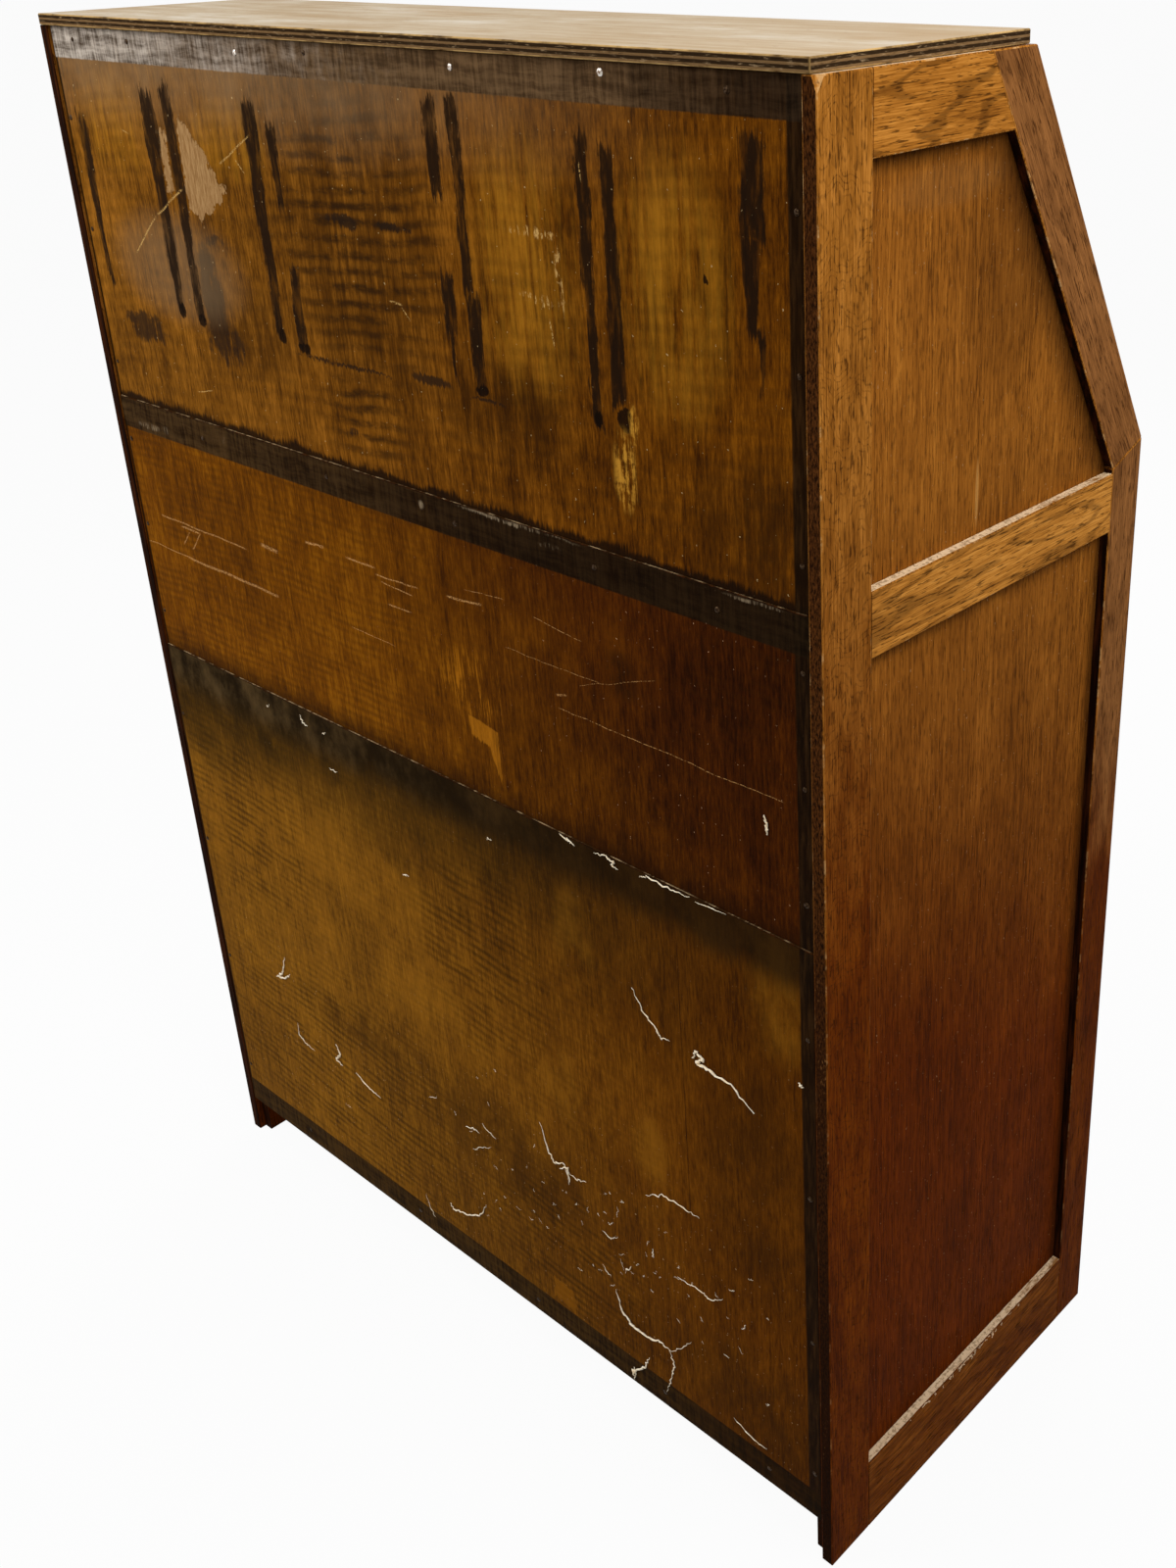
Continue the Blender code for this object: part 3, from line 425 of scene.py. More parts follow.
# Side panels
# Two thin flat panels sit in grooves in each side frame, set back from its face.
# They are faced with straight-grained oak veneer, stained like the frame and darker towards the floor,
# partly as painted shade, with painted shadow next to the frame.
# The veneer is lighter at the top, partly as painted light, and darker at the foot, partly as painted shade.
VENEER_TOP = stains((168, 106, 37), (135, 80, 24), (84, 47, 14))
VENEER_FOOT = stains((116, 50, 6), (87, 35, 4), (50, 19, 3))
VENEER_HEIGHTS = (0.34, 0.78)
VENEER_RELIEF = 0.0001
PANEL_FRONT_Y = -0.1245
# Painted shadow next to the frame: how wide it is and how dark.
FRAME_SHADOW_WIDTH = 0.014
FRAME_SHADOW_TINT = tint(38, 20, 8)
PANEL_TOPS = (1.007, 0.728)
PANEL_SLOPE = 0.492
MM = 0.001
KNOCK = ((26.5, 797), (2.2, 26))
SCUFF = ((62, 984), (66, 15))
SHADED_PATCH = ((0, 935), (60, 95))


def largest(masks):
    """The highest of several masks at each place."""
    top = masks[0]
    for mask in masks[1:]:
        top = top.maths("MAXIMUM", top, mask)
    return top


def oval(x, z, middle, half, soft=0.9):
    """1 in the middle of an oval on an upright face and 0 outside it."""
    across = (x - middle[0] * MM) / (half[0] * MM)
    upward = (z - middle[1] * MM) / (half[1] * MM)
    return rise(across * across + upward * upward, 1.0, 1.0 - soft)


def oak_veneer(name):
    """Straight-grained veneer, darker at the foot, partly in its stain and partly as painted shade, and with
    painted shadow next to the frame. The left side is scuffed and has a patch of painted shade.
    """
    finish, shader, place = new_finish(name)
    x, y, z = along_axes(place, SIDEWAYS, BACKWARD, UP)
    wander = (cloud(z * 3, y * 4, x * 4, 1.0) - 0.5) * 0.012
    lines = cloud((y + wander) * 330, z * 4, x * 3, 3.0, 0.65)
    fibre = cloud((y + wander) * 840, z * 34, x * 9, 3.0, 0.7)
    dashes = cloud((y + wander) * 900, z * 90, x * 9, 2.0, 0.6)
    pores = rise(dashes, 0.54, 0.64)
    patches = cloud(y * 26, z * 10, x * 4, 6.0, 0.68)
    # Darker towards the foot and the back, partly in the stain and partly as painted shade.
    stain = rise(z + (patches - 0.5) * 0.14 - y * 0.45, *VENEER_HEIGHTS)
    tone = rise(lines * 0.20 + fibre * 0.48 + patches * 0.28, 0.25, 0.72)
    colour = paint(stain, shade(tone, VENEER_FOOT), shade(tone, VENEER_TOP))
    colour = paint(pores * 0.50, colour, PORE_TINT)
    # Painted shadow along the front stile and the sloping stile, and under the rails.
    frame_shadow = largest([rise(y, PANEL_FRONT_Y + FRAME_SHADOW_WIDTH, PANEL_FRONT_Y),
                     rise(along_axis(place, OFF_SLOPE), PANEL_SLOPE - 2 * FRAME_SHADOW_WIDTH, PANEL_SLOPE)]
                    + [rise(z, top - FRAME_SHADOW_WIDTH, top) * rise(z, top + ARRIS, top) for top in PANEL_TOPS])
    colour = paint(frame_shadow * (0.35 + patches * 0.6), colour, FRAME_SHADOW_TINT)
    on_left = rise(x, 0.0, -0.1)
    colour = paint(oval(y, z, *SHADED_PATCH, 1.0) * (0.12 + patches * 0.40) * on_left, colour, PORE_TINT)
    colour = paint(oval(y, z, *SCUFF) * (0.1 + patches * 0.3) * on_left, colour, tint(124, 86, 46))
    colour = paint(oval(y, z, *KNOCK) * 0.42 * on_left, colour, tint(216, 158, 84))
    motes = rise(cloud(y * 420, z * 300, 2.0, 2.0), 0.700, 0.735)
    colour = paint(motes * 0.40, colour, tint(190, 152, 108))
    rough = 0.36 + fibre * 0.14 + pores * 0.2
    return dressed(finish, shader, colour, rough, fibre * 0.5 - pores, VENEER_RELIEF)


veneer = oak_veneer("oak_veneer")
for hand in ("left", "right"):
    for level in ("upper", "lower"):
        eased(f"{hand}_{level}_panel", (veneer,), "oak_panel")

# Frieze and plinth
# A rail between the lopers and a low board under the cupboard close the front. Both are oak on edge,
# stained like the doors, glued and blocked from behind.
FRONT_HEIGHTS = (-0.05, 0.57)
OAK_FRONT = stains((166, 106, 42), (138, 82, 28), (98, 54, 17))
front_across = oak("front_across", SIDEWAYS, UP, OAK_FRONT, FRONT_HEIGHTS)
front_arris = oak("front_arris", SIDEWAYS, UP, OAK_FRONT, FRONT_HEIGHTS, worn=0.4)
for node in ("plinth", "frieze_rail"):
    eased(node, (front_across, front_arris), "oak_front")

# Boards across the carcase
# The writing bed, the boards over and under the cupboard, its shelf and the two rails under the top run from
# side to side. They are planed oak, housed or screwed between the side frames. Their front edges are stained
# like the doors, and the rest thinly, as the inside is.
OAK_THIN = stains((186, 134, 76), (160, 108, 56), (124, 78, 38))
thin_across = oak("thin_across", SIDEWAYS, BACKWARD, OAK_THIN, NO_DARK_FOOT)
thin_arris = oak("thin_arris", SIDEWAYS, UP, OAK_THIN, NO_DARK_FOOT, worn=0.4)


def front_zone(_, normal):
    """Edges that look to the front are stained like it."""
    return 1 if normal.y < -STEEP else 0


for node in ("desk_bed", "cupboard_top", "bottom_board", "cupboard_shelf",
             "top_front_rail", "top_rear_rail"):
    eased(node, (thin_across, front_across, front_arris), "inner_wood", zone=front_zone)

# Pigeonholes
# A thin shelf on two thin dividers stands on the writing bed against the back.
# They are planed from the same wood as the boards and glued, with the front edges left square.
thin_upright = oak("thin_upright", UP, BACKWARD, OAK_THIN, NO_DARK_FOOT)
for node in ("pigeonhole_divider_1", "pigeonhole_divider_2"):
    eased(node, (thin_upright, thin_arris), "inner_wood")
eased("pigeonhole_shelf", (thin_across, thin_arris), "inner_wood")

# Upper back sheet
# The thinnest of three sheets of stained plywood that close the back, pinned in the rear stiles' rebates.
# Its face is an upright-grained veneer with dark runs of old glue, a torn patch, scratches and a dull film,
# with a painted sheen near its top. It is lighter to one side and towards its top, as painted light.
SHEET_ARRIS = 0.0004
BAND_EDGES = (-0.3588, 0.3680)
BAND_RAGGED = 0.0012
BAND_SOFT = 0.0006
BAND_FADE = 0.0010
GLUE_RAGGED = 0.011
GLUE_SOFT = 0.0016
GLUE_TAPER = 0.3
SCRATCH_STARTS = 0.004
SCRATCH_ENDS = 0.006
UPPER_RELIEF = 0.00022
INNER_RELIEF = 0.0001
# Where along the sheet, or up it, a change of colour starts and ends, in metres
# The lit sides span the painted light across the sheet, lighter to one side.
UPPER_LIT_SIDES = (-0.42, 0.34)
# Near the top the dull film is partly a painted sheen.
FILM_SHEEN_HEIGHTS = (0.965, 1.035)
FILM_SHEEN_SIDES = (-0.33, 0.10)
DRIP_HEIGHTS = (0.7735, 0.7690)
BROWNED_SIDES = (-0.34, -0.20)
# The top margin turns grey to one side, as a grey film and a painted sheen.
GREY_FILM_SHEEN_SIDES = (-0.06, 0.40)
UPPER_BAND_Z = 1.0285
UPPER_RIPPLE_PITCH = 0.0105
# The left stains are the painted lit side of the sheet and the right ones its painted shaded side.
UPPER_LEFT = stains((156, 100, 30), (121, 75, 18), (74, 43, 10))
UPPER_RIGHT = stains((132, 76, 10), (98, 53, 5), (56, 27, 4))
GLUE_TINT = tint(30, 19, 11)
SMEAR_TINT = tint(38, 26, 17)
# The tint of the dull film, which near the top is a painted sheen.
FILM_SHEEN_TINT = tint(126, 102, 74)
TORN_TINT = tint(172, 134, 88)
SCRATCH_TINT = tint(206, 164, 96)
MARGIN_DARK = tint(22, 13, 6)
MARGIN_PALE = tint(56, 36, 17)
# The places and half sizes of marks on all three sheets are in millimetres, across from the middle and up
# from the floor. Each run of glue has its place across, its top, its foot, and its half width at each.
GOLDEN_STROKES = (((-238, 851), (5, 15)), ((-228, 822), (12, 30)))
FILM_PATCH = ((245, 885), (105, 50))
GLUE_RUNS = ((350, 992, 860, 8, 4), (250, 1013, 850, 10, 6), (223, 1018, 846, 8, 6),
             (119, 1014, 850, 9, 5.5), (95, 1000, 942, 6.5, 4), (92, 906, 843, 5.5, 6.5),
             (-76, 1024, 963, 8, 5.5), (-77, 922, 878, 7, 6), (-78, 882, 846, 2.5, 2),
             (-98, 1028, 908, 6, 5), (-101, 912, 846, 8, 5.5), (-208, 1016, 842, 6, 5),
             (-204, 1002, 980, 3, 2.5), (-228, 1008, 858, 5.5, 6.5), (-335, 1022, 965, 8.5, 10),
             (-333, 972, 915, 8, 4), (-338, 925, 884, 2.5, 2))
GLUE_BLOTS = (((248, 852), (6, 8)), ((222, 848), (7, 6)), ((116, 852), (5, 7)), ((91, 847), (9, 5)),
              ((-102, 849), (8, 5)), ((-208, 850), (4.5, 7)), ((-232, 853), (8.5, 9)),
              ((-299, 943), (2.2, 3)))
UPPER_SCRATCHES = (((303, 889), (262, 922), 1.0), ((262, 922), (218, 945), 1.2),
                   ((165, 966), (121, 989), 1.0), ((145, 972), (133, 961), 0.8),
                   ((-171, 905), (-174, 886), 0.9), ((248, 789), (223, 794), 0.7),
                   ((-14, 894), (-30, 893), 1.1), ((-27, 892), (-36, 883), 0.9),
                   ((292, 981), (281, 978), 0.8), ((-206, 998), (-207, 985), 0.8))
UPPER_RUBS = (((-164, 954), (32, 3.6)), ((-166, 917), (24, 2.6)), ((-168, 913), (18, 2)),
              ((-182, 931), (4, 26)))
UPPER_SMEARS = (((302, 831), (44, 18)), ((322, 836), (22, 9)), ((202, 872), (20, 52)),
                ((186, 910), (22, 8)), ((196, 832), (38, 30)), ((34, 943), (36, 4)), ((20, 941), (16, 6)),
                ((-28, 943), (36, 3)), ((-50, 847), (28, 4)), ((40, 842), (80, 2)),
                ((-110, 843), (36, 1.6)), ((48, 796), (12, 6)))
UPPER_GLOWS = (((-150, 930), (64, 100)), ((-275, 935), (55, 95)), ((150, 985), (60, 36)),
               ((305, 985), (64, 46)))
UPPER_RIPPLES = (((15, 935), (110, 110)), ((32, 812), (60, 46)))
UPPER_SHADES = (((10, 930), (100, 150)), ((-335, 800), (70, 70)), ((150, 850), (80, 40)),
                ((-120, 840), (90, 40)))
# The corners of a patch go round it one way, so that its inside is on the same side of each edge.
TORN_WIDE = ((207, 995), (197, 987), (163, 949), (168, 942), (200, 923), (213, 931), (217, 958), (214, 985))
TORN_NARROW = ((242, 984), (231, 986), (229, 942), (238, 939), (243, 962))


def ovals(x, z, shapes, soft=0.9):
    """1 in the middle of any of several ovals and 0 outside them."""
    return largest([oval(x, z, middle, half, soft) for middle, half in shapes])


def patch(x, z, corners):
    """How far inside a straight-sided patch a place is, in metres."""
    depths = []
    for start, end in zip(corners, corners[1:] + corners[:1]):
        run = (Vector(end) - Vector(start)).normalized()
        depths.append((x - start[0] * MM) * -run.y + (z - start[1] * MM) * run.x)
    return 0 - largest([0 - depth for depth in depths])


def glue_run(x, z, streaks, at, top, foot, top_half, foot_half):
    """A dried run of glue down the sheet, with edges and ends broken along the grain."""
    share = rise(z, foot * MM, top * MM)
    across = foot_half * MM + share * ((top_half - foot_half) * MM) - abs(x - at * MM)
    along = abs(z - (top + foot) / 2 * MM) * -GLUE_TAPER + (top - foot) / 2 * MM * GLUE_TAPER
    return rise(0 - largest([0 - across, 0 - along]) + streaks * GLUE_RAGGED, 0.0, GLUE_SOFT)


def scratch(x, z, start, end, half):
    """A thin line from one place to another."""
    first, last = Vector(start) * MM, Vector(end) * MM
    span = (last - first).length
    run = (last - first) / span
    across, upward = x - first.x, z - first.y
    forward = across * run.x + upward * run.y
    aside = abs(upward * run.x - across * run.y)
    ends = rise(forward, 0.0, SCRATCH_STARTS) * rise(forward, span, span - SCRATCH_ENDS)
    return rise(aside, half * MM, half * MM * 0.2) * ends


def scratches(x, z, lines, seed):
    """Several scratches, stippled as a blunt point leaves them."""
    skips = rise(cloud(x * 800, z * 800, seed, 2.0, 0.6), 0.42, 0.54)
    return largest([scratch(x, z, *line) for line in lines]) * skips


def sheet_grain(x, z, seed, blotch):
    """The short upright fibres and the mottled patches of a veneer, and a tone made of both."""
    flecks = cloud(x * 520, z * 60, seed, 4.0, 0.75)
    fibre = cloud(x * 190, z * 8, seed + 2, 4.0, 0.65)
    mottle = cloud(x * 30, z * 18, seed + 4, 6.0, 0.68)
    broad = cloud(x * 6, z * 5, seed + 6, 2.0)
    middle = (0.50 + 0.25 + blotch + 0.20) / 2
    tone = rise(flecks * 0.50 + fibre * 0.25 + mottle * blotch + broad * 0.20, middle - 0.17, middle + 0.17)
    return flecks, mottle, tone


def streaked(x, z, seed):
    """Fine upright streaks, above and below 0."""
    return cloud(x * 420, z * 26, seed, 4.0, 0.7) - 0.5


def crumbs(x, z, lumps, rarity):
    """1 on scattered specks of dust, with that many lumps to each metre to choose them from."""
    return rise(cloud(x * lumps, z * lumps, 2.0, 2.0, 0.6), rarity, rarity + 0.03)


def ripple(x, z, pitch, tilt, seed):
    """Soft dark bars of rippled figure across the grain, broken up."""
    bend = cloud(x * 6, z * 5, seed, 2.0) - 0.5
    turns = (z + x * tilt + bend * 0.014) * (2 * math.pi / pitch)
    bars = (turns + cloud(x * 18, z * 30, seed, 3.0) * 5).sine()
    return rise(bars, -1.0, 1.0) * rise(cloud(x * 22, z * 45, seed + 2, 5.0, 0.7), 0.36, 0.60)


def sheet_band(x, z, ragged, edge, way):
    """1 on the dark margins of a sheet, first beyond one edge, up or down, and then at both sides."""
    right, left = BAND_EDGES
    rough = ragged * BAND_RAGGED
    beyond = rise((z + rough - edge) * way, -BAND_SOFT, BAND_SOFT)
    beside = largest([rise(x + rough, left - BAND_SOFT, left + BAND_FADE),
                      rise(x + rough, right + BAND_SOFT, right - BAND_FADE)])
    return beyond, beside


def margined(colour, x, z, beyond, beside, tones, seed):
    """A sheet's colour with its dark margins: the tones are the dark and the pale ones of the margin beyond
    one edge, and the grain shows through both."""
    upright = cloud(x * 320, z * 30, seed, 4.0, 0.68)
    smeared = cloud(x * 20, z * 150, seed, 5.0, 0.70) * 0.5 + upright * 0.5
    colour = paint(beside * 0.95, colour, paint(rise(upright, 0.40, 0.75), MARGIN_DARK, MARGIN_PALE))
    return paint(beyond * 0.95, colour, paint(rise(smeared, 0.36, 0.64), *tones))


def upper_stain(plain, wavering, mottle, tone, streaks, crumble):
    """The stain of the upper sheet, lighter to one side and towards its top as painted light, left uneven by
    the brush, under smears and a dull, filmy coat that is partly painted sheen.
    """
    (plain_x, plain_z), (x, z) = plain, wavering
    # Lighter to one side and towards the top, as painted light.
    lit_side = rise(plain_x + (mottle - 0.5) * 0.25 + (plain_z - 0.9) * 0.5, *UPPER_LIT_SIDES)
    colour = paint(lit_side, shade(tone, UPPER_RIGHT), shade(tone, UPPER_LEFT))
    strokes = cloud(plain_x * 150, plain_z * 9, 17.0, 5.0, 0.7) * 0.7 + mottle * 0.3
    glows = ovals(x, z, UPPER_GLOWS, 1.0) * rise(strokes, 0.36, 0.64)
    colour = paint(glows * 0.65, colour, tint(174, 117, 28))
    shades = ovals(x, z, UPPER_SHADES, 1.0) * rise(strokes, 0.66, 0.40)
    colour = paint(shades * 0.75, colour, tint(54, 29, 6))
    figure = ripple(plain_x, plain_z, UPPER_RIPPLE_PITCH, 0.08, 21.0)
    colour = paint(figure * (0.20 + ovals(x, z, UPPER_RIPPLES) * 0.70), colour, tint(44, 26, 10))
    broken = (mottle - 0.5) * 2.2 + streaks * 0.8 + crumble * 0.7
    smears = rise(ovals(x, z, UPPER_SMEARS, 1.0) + broken * 1.8, 0.35, 0.95) * ovals(x, z, UPPER_SMEARS, 0.7)
    colour = paint(smears * 0.85, colour, SMEAR_TINT)
    # A dull film, which near the top is a painted sheen.
    film_sheen = largest([rise(plain_z + (mottle - 0.5) * 0.05, *FILM_SHEEN_HEIGHTS) * rise(plain_x, *FILM_SHEEN_SIDES),
                    oval(x, z, *FILM_PATCH, 1.0) * 0.8])
    return paint(film_sheen * (0.26 + mottle * 0.60), colour, FILM_SHEEN_TINT)


def upper_marks(colour, plain, wavering, flecks, streaks, bend, crumble):
    """The stained colour with a torn patch, glue, golden strokes and scratches on it, and then where it is
    torn, glued and scratched."""
    (plain_x, plain_z), (x, z) = plain, wavering
    inside = largest([patch(x, z, corners) for corners in (TORN_WIDE, TORN_NARROW)])
    tear = rise(inside + crumble * 0.030, 0.0, 0.0010)
    colour = paint(tear * 0.94, colour, paint(rise(flecks, 0.38, 0.62), tint(140, 102, 60), TORN_TINT))
    ragged = streaks + crumble * 0.4
    runs = largest([glue_run(plain_x + bend * 0.008, plain_z, ragged, *run) for run in GLUE_RUNS])
    thin = rise(cloud(plain_x * 160, plain_z * 30, 3.0, 4.0, 0.65), 0.30, 0.54)
    colour = paint(runs * (0.50 + thin * 0.45), colour, GLUE_TINT)
    blots = rise(ovals(x, z, GLUE_BLOTS, 1.0) + crumble * 1.6, 0.20, 0.45)
    colour = paint(blots * ovals(x, z, GLUE_BLOTS, 0.3) * 0.92, colour, tint(20, 12, 7))
    wedge = ovals(x, z, GOLDEN_STROKES, 0.8) * rise(streaks + crumble * 0.8, -0.06, 0.12)
    colour = paint(wedge * 0.85, colour, tint(200, 142, 48))
    scores = scratches(plain_x + bend * 0.003, plain_z + bend * 0.003, UPPER_SCRATCHES, 14.0)
    rubs = ovals(x, z, UPPER_RUBS, 0.8) * rise(streaks + crumble, 0.04, 0.16)
    colour = paint(largest([scores, rubs]) * 0.85, colour, SCRATCH_TINT)
    return colour, tear, runs, scores


def upper_margins(colour, plain, mottle, streaks, bend, crumble):
    """The marked colour with pale specks, a dark drip along its foot and dark margins, and then where the
    margin along its top is."""
    plain_x, plain_z = plain
    colour = paint(crumbs(plain_x, plain_z, 300, 0.715) * 0.6, colour, tint(206, 176, 124))
    drip = rise(plain_z + bend * 0.020 + streaks * 0.016, *DRIP_HEIGHTS)
    colour = paint(drip * 0.92, colour, tint(24, 14, 7))
    beyond, beside = sheet_band(plain_x, plain_z, streaks, UPPER_BAND_Z, 1)
    browned = rise(plain_x + (mottle - 0.5) * 0.2, *BROWNED_SIDES)
    # The top margin turns grey to one side, as a grey film and a painted sheen.
    grey_film_sheen = rise(plain_x + (mottle - 0.5) * 0.4 + crumble * 0.3, *GREY_FILM_SHEEN_SIDES)
    dark = paint(grey_film_sheen, paint(browned, tint(24, 16, 9), tint(58, 42, 26)), tint(60, 48, 38))
    pale = paint(grey_film_sheen, paint(browned, tint(58, 42, 27), tint(112, 86, 58)), tint(200, 188, 174))
    return margined(colour, plain_x, plain_z + bend * 0.010, beyond, beside, (dark, pale), 36.0), beyond


def upper_sheet(name):
    """The outer face of the upper sheet, with all its marks."""
    finish, shader, place = new_finish(name)
    plain = along_axes(place, SIDEWAYS, UP)
    plain_x, plain_z = plain
    flecks, mottle, tone = sheet_grain(plain_x, plain_z, 11.0, 0.30)
    streaks = streaked(plain_x, plain_z, 5.0)
    bend = cloud(plain_x * 30, plain_z * 26, 8.0, 3.0) - 0.5
    crumble = cloud(plain_x * 110, plain_z * 90, 31.0, 5.0, 0.7) - 0.5
    wavering = plain_x + streaks * 0.004 + bend * 0.008, plain_z + streaks * 0.010 + bend * 0.006
    colour = upper_stain(plain, wavering, mottle, tone, streaks, crumble)
    colour, tear, runs, scores = upper_marks(colour, plain, wavering, flecks, streaks, bend, crumble)
    colour, beyond = upper_margins(colour, plain, mottle, streaks, bend, crumble)
    rough = 0.36 + mottle * 0.18 + tear * 0.3 + beyond * 0.06
    relief = flecks * 0.35 - tear * 1.6 + runs * 0.8 - scores
    return dressed(finish, shader, colour, rough, relief, UPPER_RELIEF)


def dust_line(name):
    """Pale dust on the ledge along the top of a sheet."""
    finish, shader, place = new_finish(name)
    x = along_axis(place, SIDEWAYS)
    lie = cloud(x * 70, x * 9, 0.0, 4.0, 0.7)
    colour = paint(rise(lie, 0.44, 0.64), tint(62, 40, 18), tint(176, 148, 108))
    return dressed(finish, shader, colour, 0.75 + lie * 0.2, lie, DUST_RELIEF)


def inner_ply(name):
    """The face of a sheet that looks into the bureau: plain upright veneer, thinly stained."""
    finish, shader, place = new_finish(name)
    flecks, mottle, tone = sheet_grain(*along_axes(place, SIDEWAYS, UP), 91.0, 0.2)
    return dressed(finish, shader, shade(tone, OAK_THIN), 0.5 + mottle * 0.2, flecks, INNER_RELIEF)


def sheet_zone(_, normal):
    """The edge that looks up is dusty, and the face that looks to the front is plain."""
    return 1 if normal.z > STEEP else 2 if normal.y < -STEEP else 0


back_dust = dust_line("back_dust")
back_inside = inner_ply("back_inside")


def back_sheet(level, face):
    """A back sheet with its own outer face. The rest of it is the same on all three."""
    finishes = (face, back_dust, back_inside, oak_stain_and_shade)
    eased("back_sheet_" + level, finishes, "back_ply", SHEET_ARRIS, zone=sheet_zone)


back_sheet("upper", upper_sheet("upper_sheet"))

# Middle back sheet
# A thicker sheet of ply behind the drawer, browner than the one above. An almost black band runs along its
# top, where it is pinned to the edge of the writing bed. Its face is scored by things dragged along it.
SHEET_RELIEF = 0.00020
# The lit sides span the painted light across the sheet, lighter to one side.
MIDDLE_LIT_SIDES = (-0.30, 0.16)
MIDDLE_RIPPLED = (-0.10, 0.10)
MIDDLE_RIPPLE_PITCH = 0.0065
FOOT_HEIGHTS = (0.566, 0.542)
MIDDLE_BAND_Z = 0.7405
# The left stains are the painted lit side of the sheet and the right ones its painted shaded side.
MIDDLE_LEFT = stains((142, 86, 12), (112, 63, 6), (76, 40, 4))
MIDDLE_RIGHT = stains((86, 41, 5), (62, 27, 4), (36, 14, 3))
MIDDLE_SCRATCHES = (((306, 638), (175, 637), 1.7), ((374, 639), (200, 637), 0.7),
                    ((340, 669), (211, 668), 1.0), ((310, 665), (280, 666), 1.3),
                    ((298, 647), (280, 667), 0.8), ((310, 648), (296, 664), 0.7),
                    ((191, 677), (165, 676), 2.2), ((128, 694), (101, 696), 1.6),
                    ((76, 694), (38, 694), 1.2), ((41, 689), (-11, 691), 0.9), ((35, 685), (-4, 683), 0.7),
                    ((31, 669), (0, 669), 0.9), ((-41, 693), (-81, 697), 1.3), ((81, 637), (26, 636), 0.5),
                    ((-149, 641), (-350, 640), 0.45), ((-100, 671), (-195, 672), 0.3),
                    ((-172, 664), (-245, 690), 0.3), ((-148, 650), (-161, 654), 1.2),
                    ((-105, 708), (-60, 704), 0.4), ((-130, 703), (-180, 697), 0.4))
BAND_SMUDGES = (((332, 747), (22, 3.5)), ((306, 748), (6, 4)), ((218, 755), (3, 4)), ((-24, 757), (3.5, 4)),
                ((-155, 757), (12, 2.5)), ((-196, 754), (4, 2.5)), ((-120, 765), (70, 1.6)),
                ((-330, 764), (28, 1.6)))
PEELED_PATCHES = (((-50, 606), (-83, 601), (-83, 582), (-66, 586), (-53, 588)),
                  ((-66, 600), (-83, 600), (-83, 552)))
BRUSHED_PATCH = ((-62, 628), (50, 38))
RING_MARK = ((-212, 682), (22, 22))


def middle_sheet(name):
    """The outer face of the middle sheet, with all its marks."""
    finish, shader, place = new_finish(name)
    plain_x, plain_z = along_axes(place, SIDEWAYS, UP)
    flecks, mottle, tone = sheet_grain(plain_x, plain_z, 41.0, 0.26)
    streaks = streaked(plain_x, plain_z, 45.0)
    bend = cloud(plain_x * 30, plain_z * 26, 48.0, 3.0) - 0.5
    x = plain_x + streaks * 0.003 + bend * 0.006
    z = plain_z + streaks * 0.006 + bend * 0.005
    # Lighter to one side, as painted light.
    lit_side = rise(plain_x + (mottle - 0.5) * 0.20 - (plain_z - 0.65) * 0.6, *MIDDLE_LIT_SIDES)
    colour = paint(lit_side, shade(tone, MIDDLE_RIGHT), shade(tone, MIDDLE_LEFT))
    figure = ripple(plain_x, plain_z, MIDDLE_RIPPLE_PITCH, 0.03, 47.0)
    colour = paint(figure * (0.12 + rise(plain_x, *MIDDLE_RIPPLED) * 0.24), colour, tint(62, 34, 7))
    brushed = oval(x, z, *BRUSHED_PATCH, 1.0) * rise(streaks + (mottle - 0.5) * 0.6, 0.02, 0.16)
    colour = paint(brushed * 0.85, colour, tint(172, 106, 18))
    inside = largest([patch(x, z, corners) for corners in PEELED_PATCHES])
    peeled = rise(inside + streaks * 0.008, 0.0, 0.0016)
    colour = paint(peeled * (0.35 + tone * 0.50), colour, tint(180, 112, 22))
    ring = oval(x, z, *RING_MARK, 1.0) * rise(mottle + flecks, 0.94, 1.14)
    colour = paint(ring * 0.8, colour, tint(26, 12, 5))
    scores = scratches(x, plain_z + bend * 0.004, MIDDLE_SCRATCHES, 44.0)
    colour = paint(scores * 0.8, colour, tint(206, 152, 90))
    specks = crumbs(plain_x, plain_z, 380, 0.725)
    colour = paint(specks * (0.2 + rise(plain_x, 0.0, -0.2) * 0.6), colour, tint(206, 160, 120))
    foot = rise(plain_z + (mottle - 0.5) * 0.03, *FOOT_HEIGHTS)
    colour = paint(foot * 0.65, colour, tint(30, 13, 3))

    beyond, beside = sheet_band(plain_x, plain_z, streaks, MIDDLE_BAND_Z, 1)
    tones = tint(18, 11, 5), paint(rise(plain_x, -0.2, 0.36), tint(42, 29, 15), tint(74, 54, 30))
    colour = margined(colour, plain_x, plain_z + bend * 0.010, beyond, beside, tones, 56.0)
    smudges = ovals(x, z, BAND_SMUDGES, 1.0) * rise(streaks * 2 + (mottle - 0.5) * 2, -0.10, 0.30) * beyond
    colour = paint(smudges * 0.6, colour, tint(168, 146, 116))
    rough = 0.34 + mottle * 0.18 + beyond * 0.1
    return dressed(finish, shader, colour, rough, flecks * 0.35 - scores, SHEET_RELIEF)


back_sheet("middle", middle_sheet("middle_sheet"))

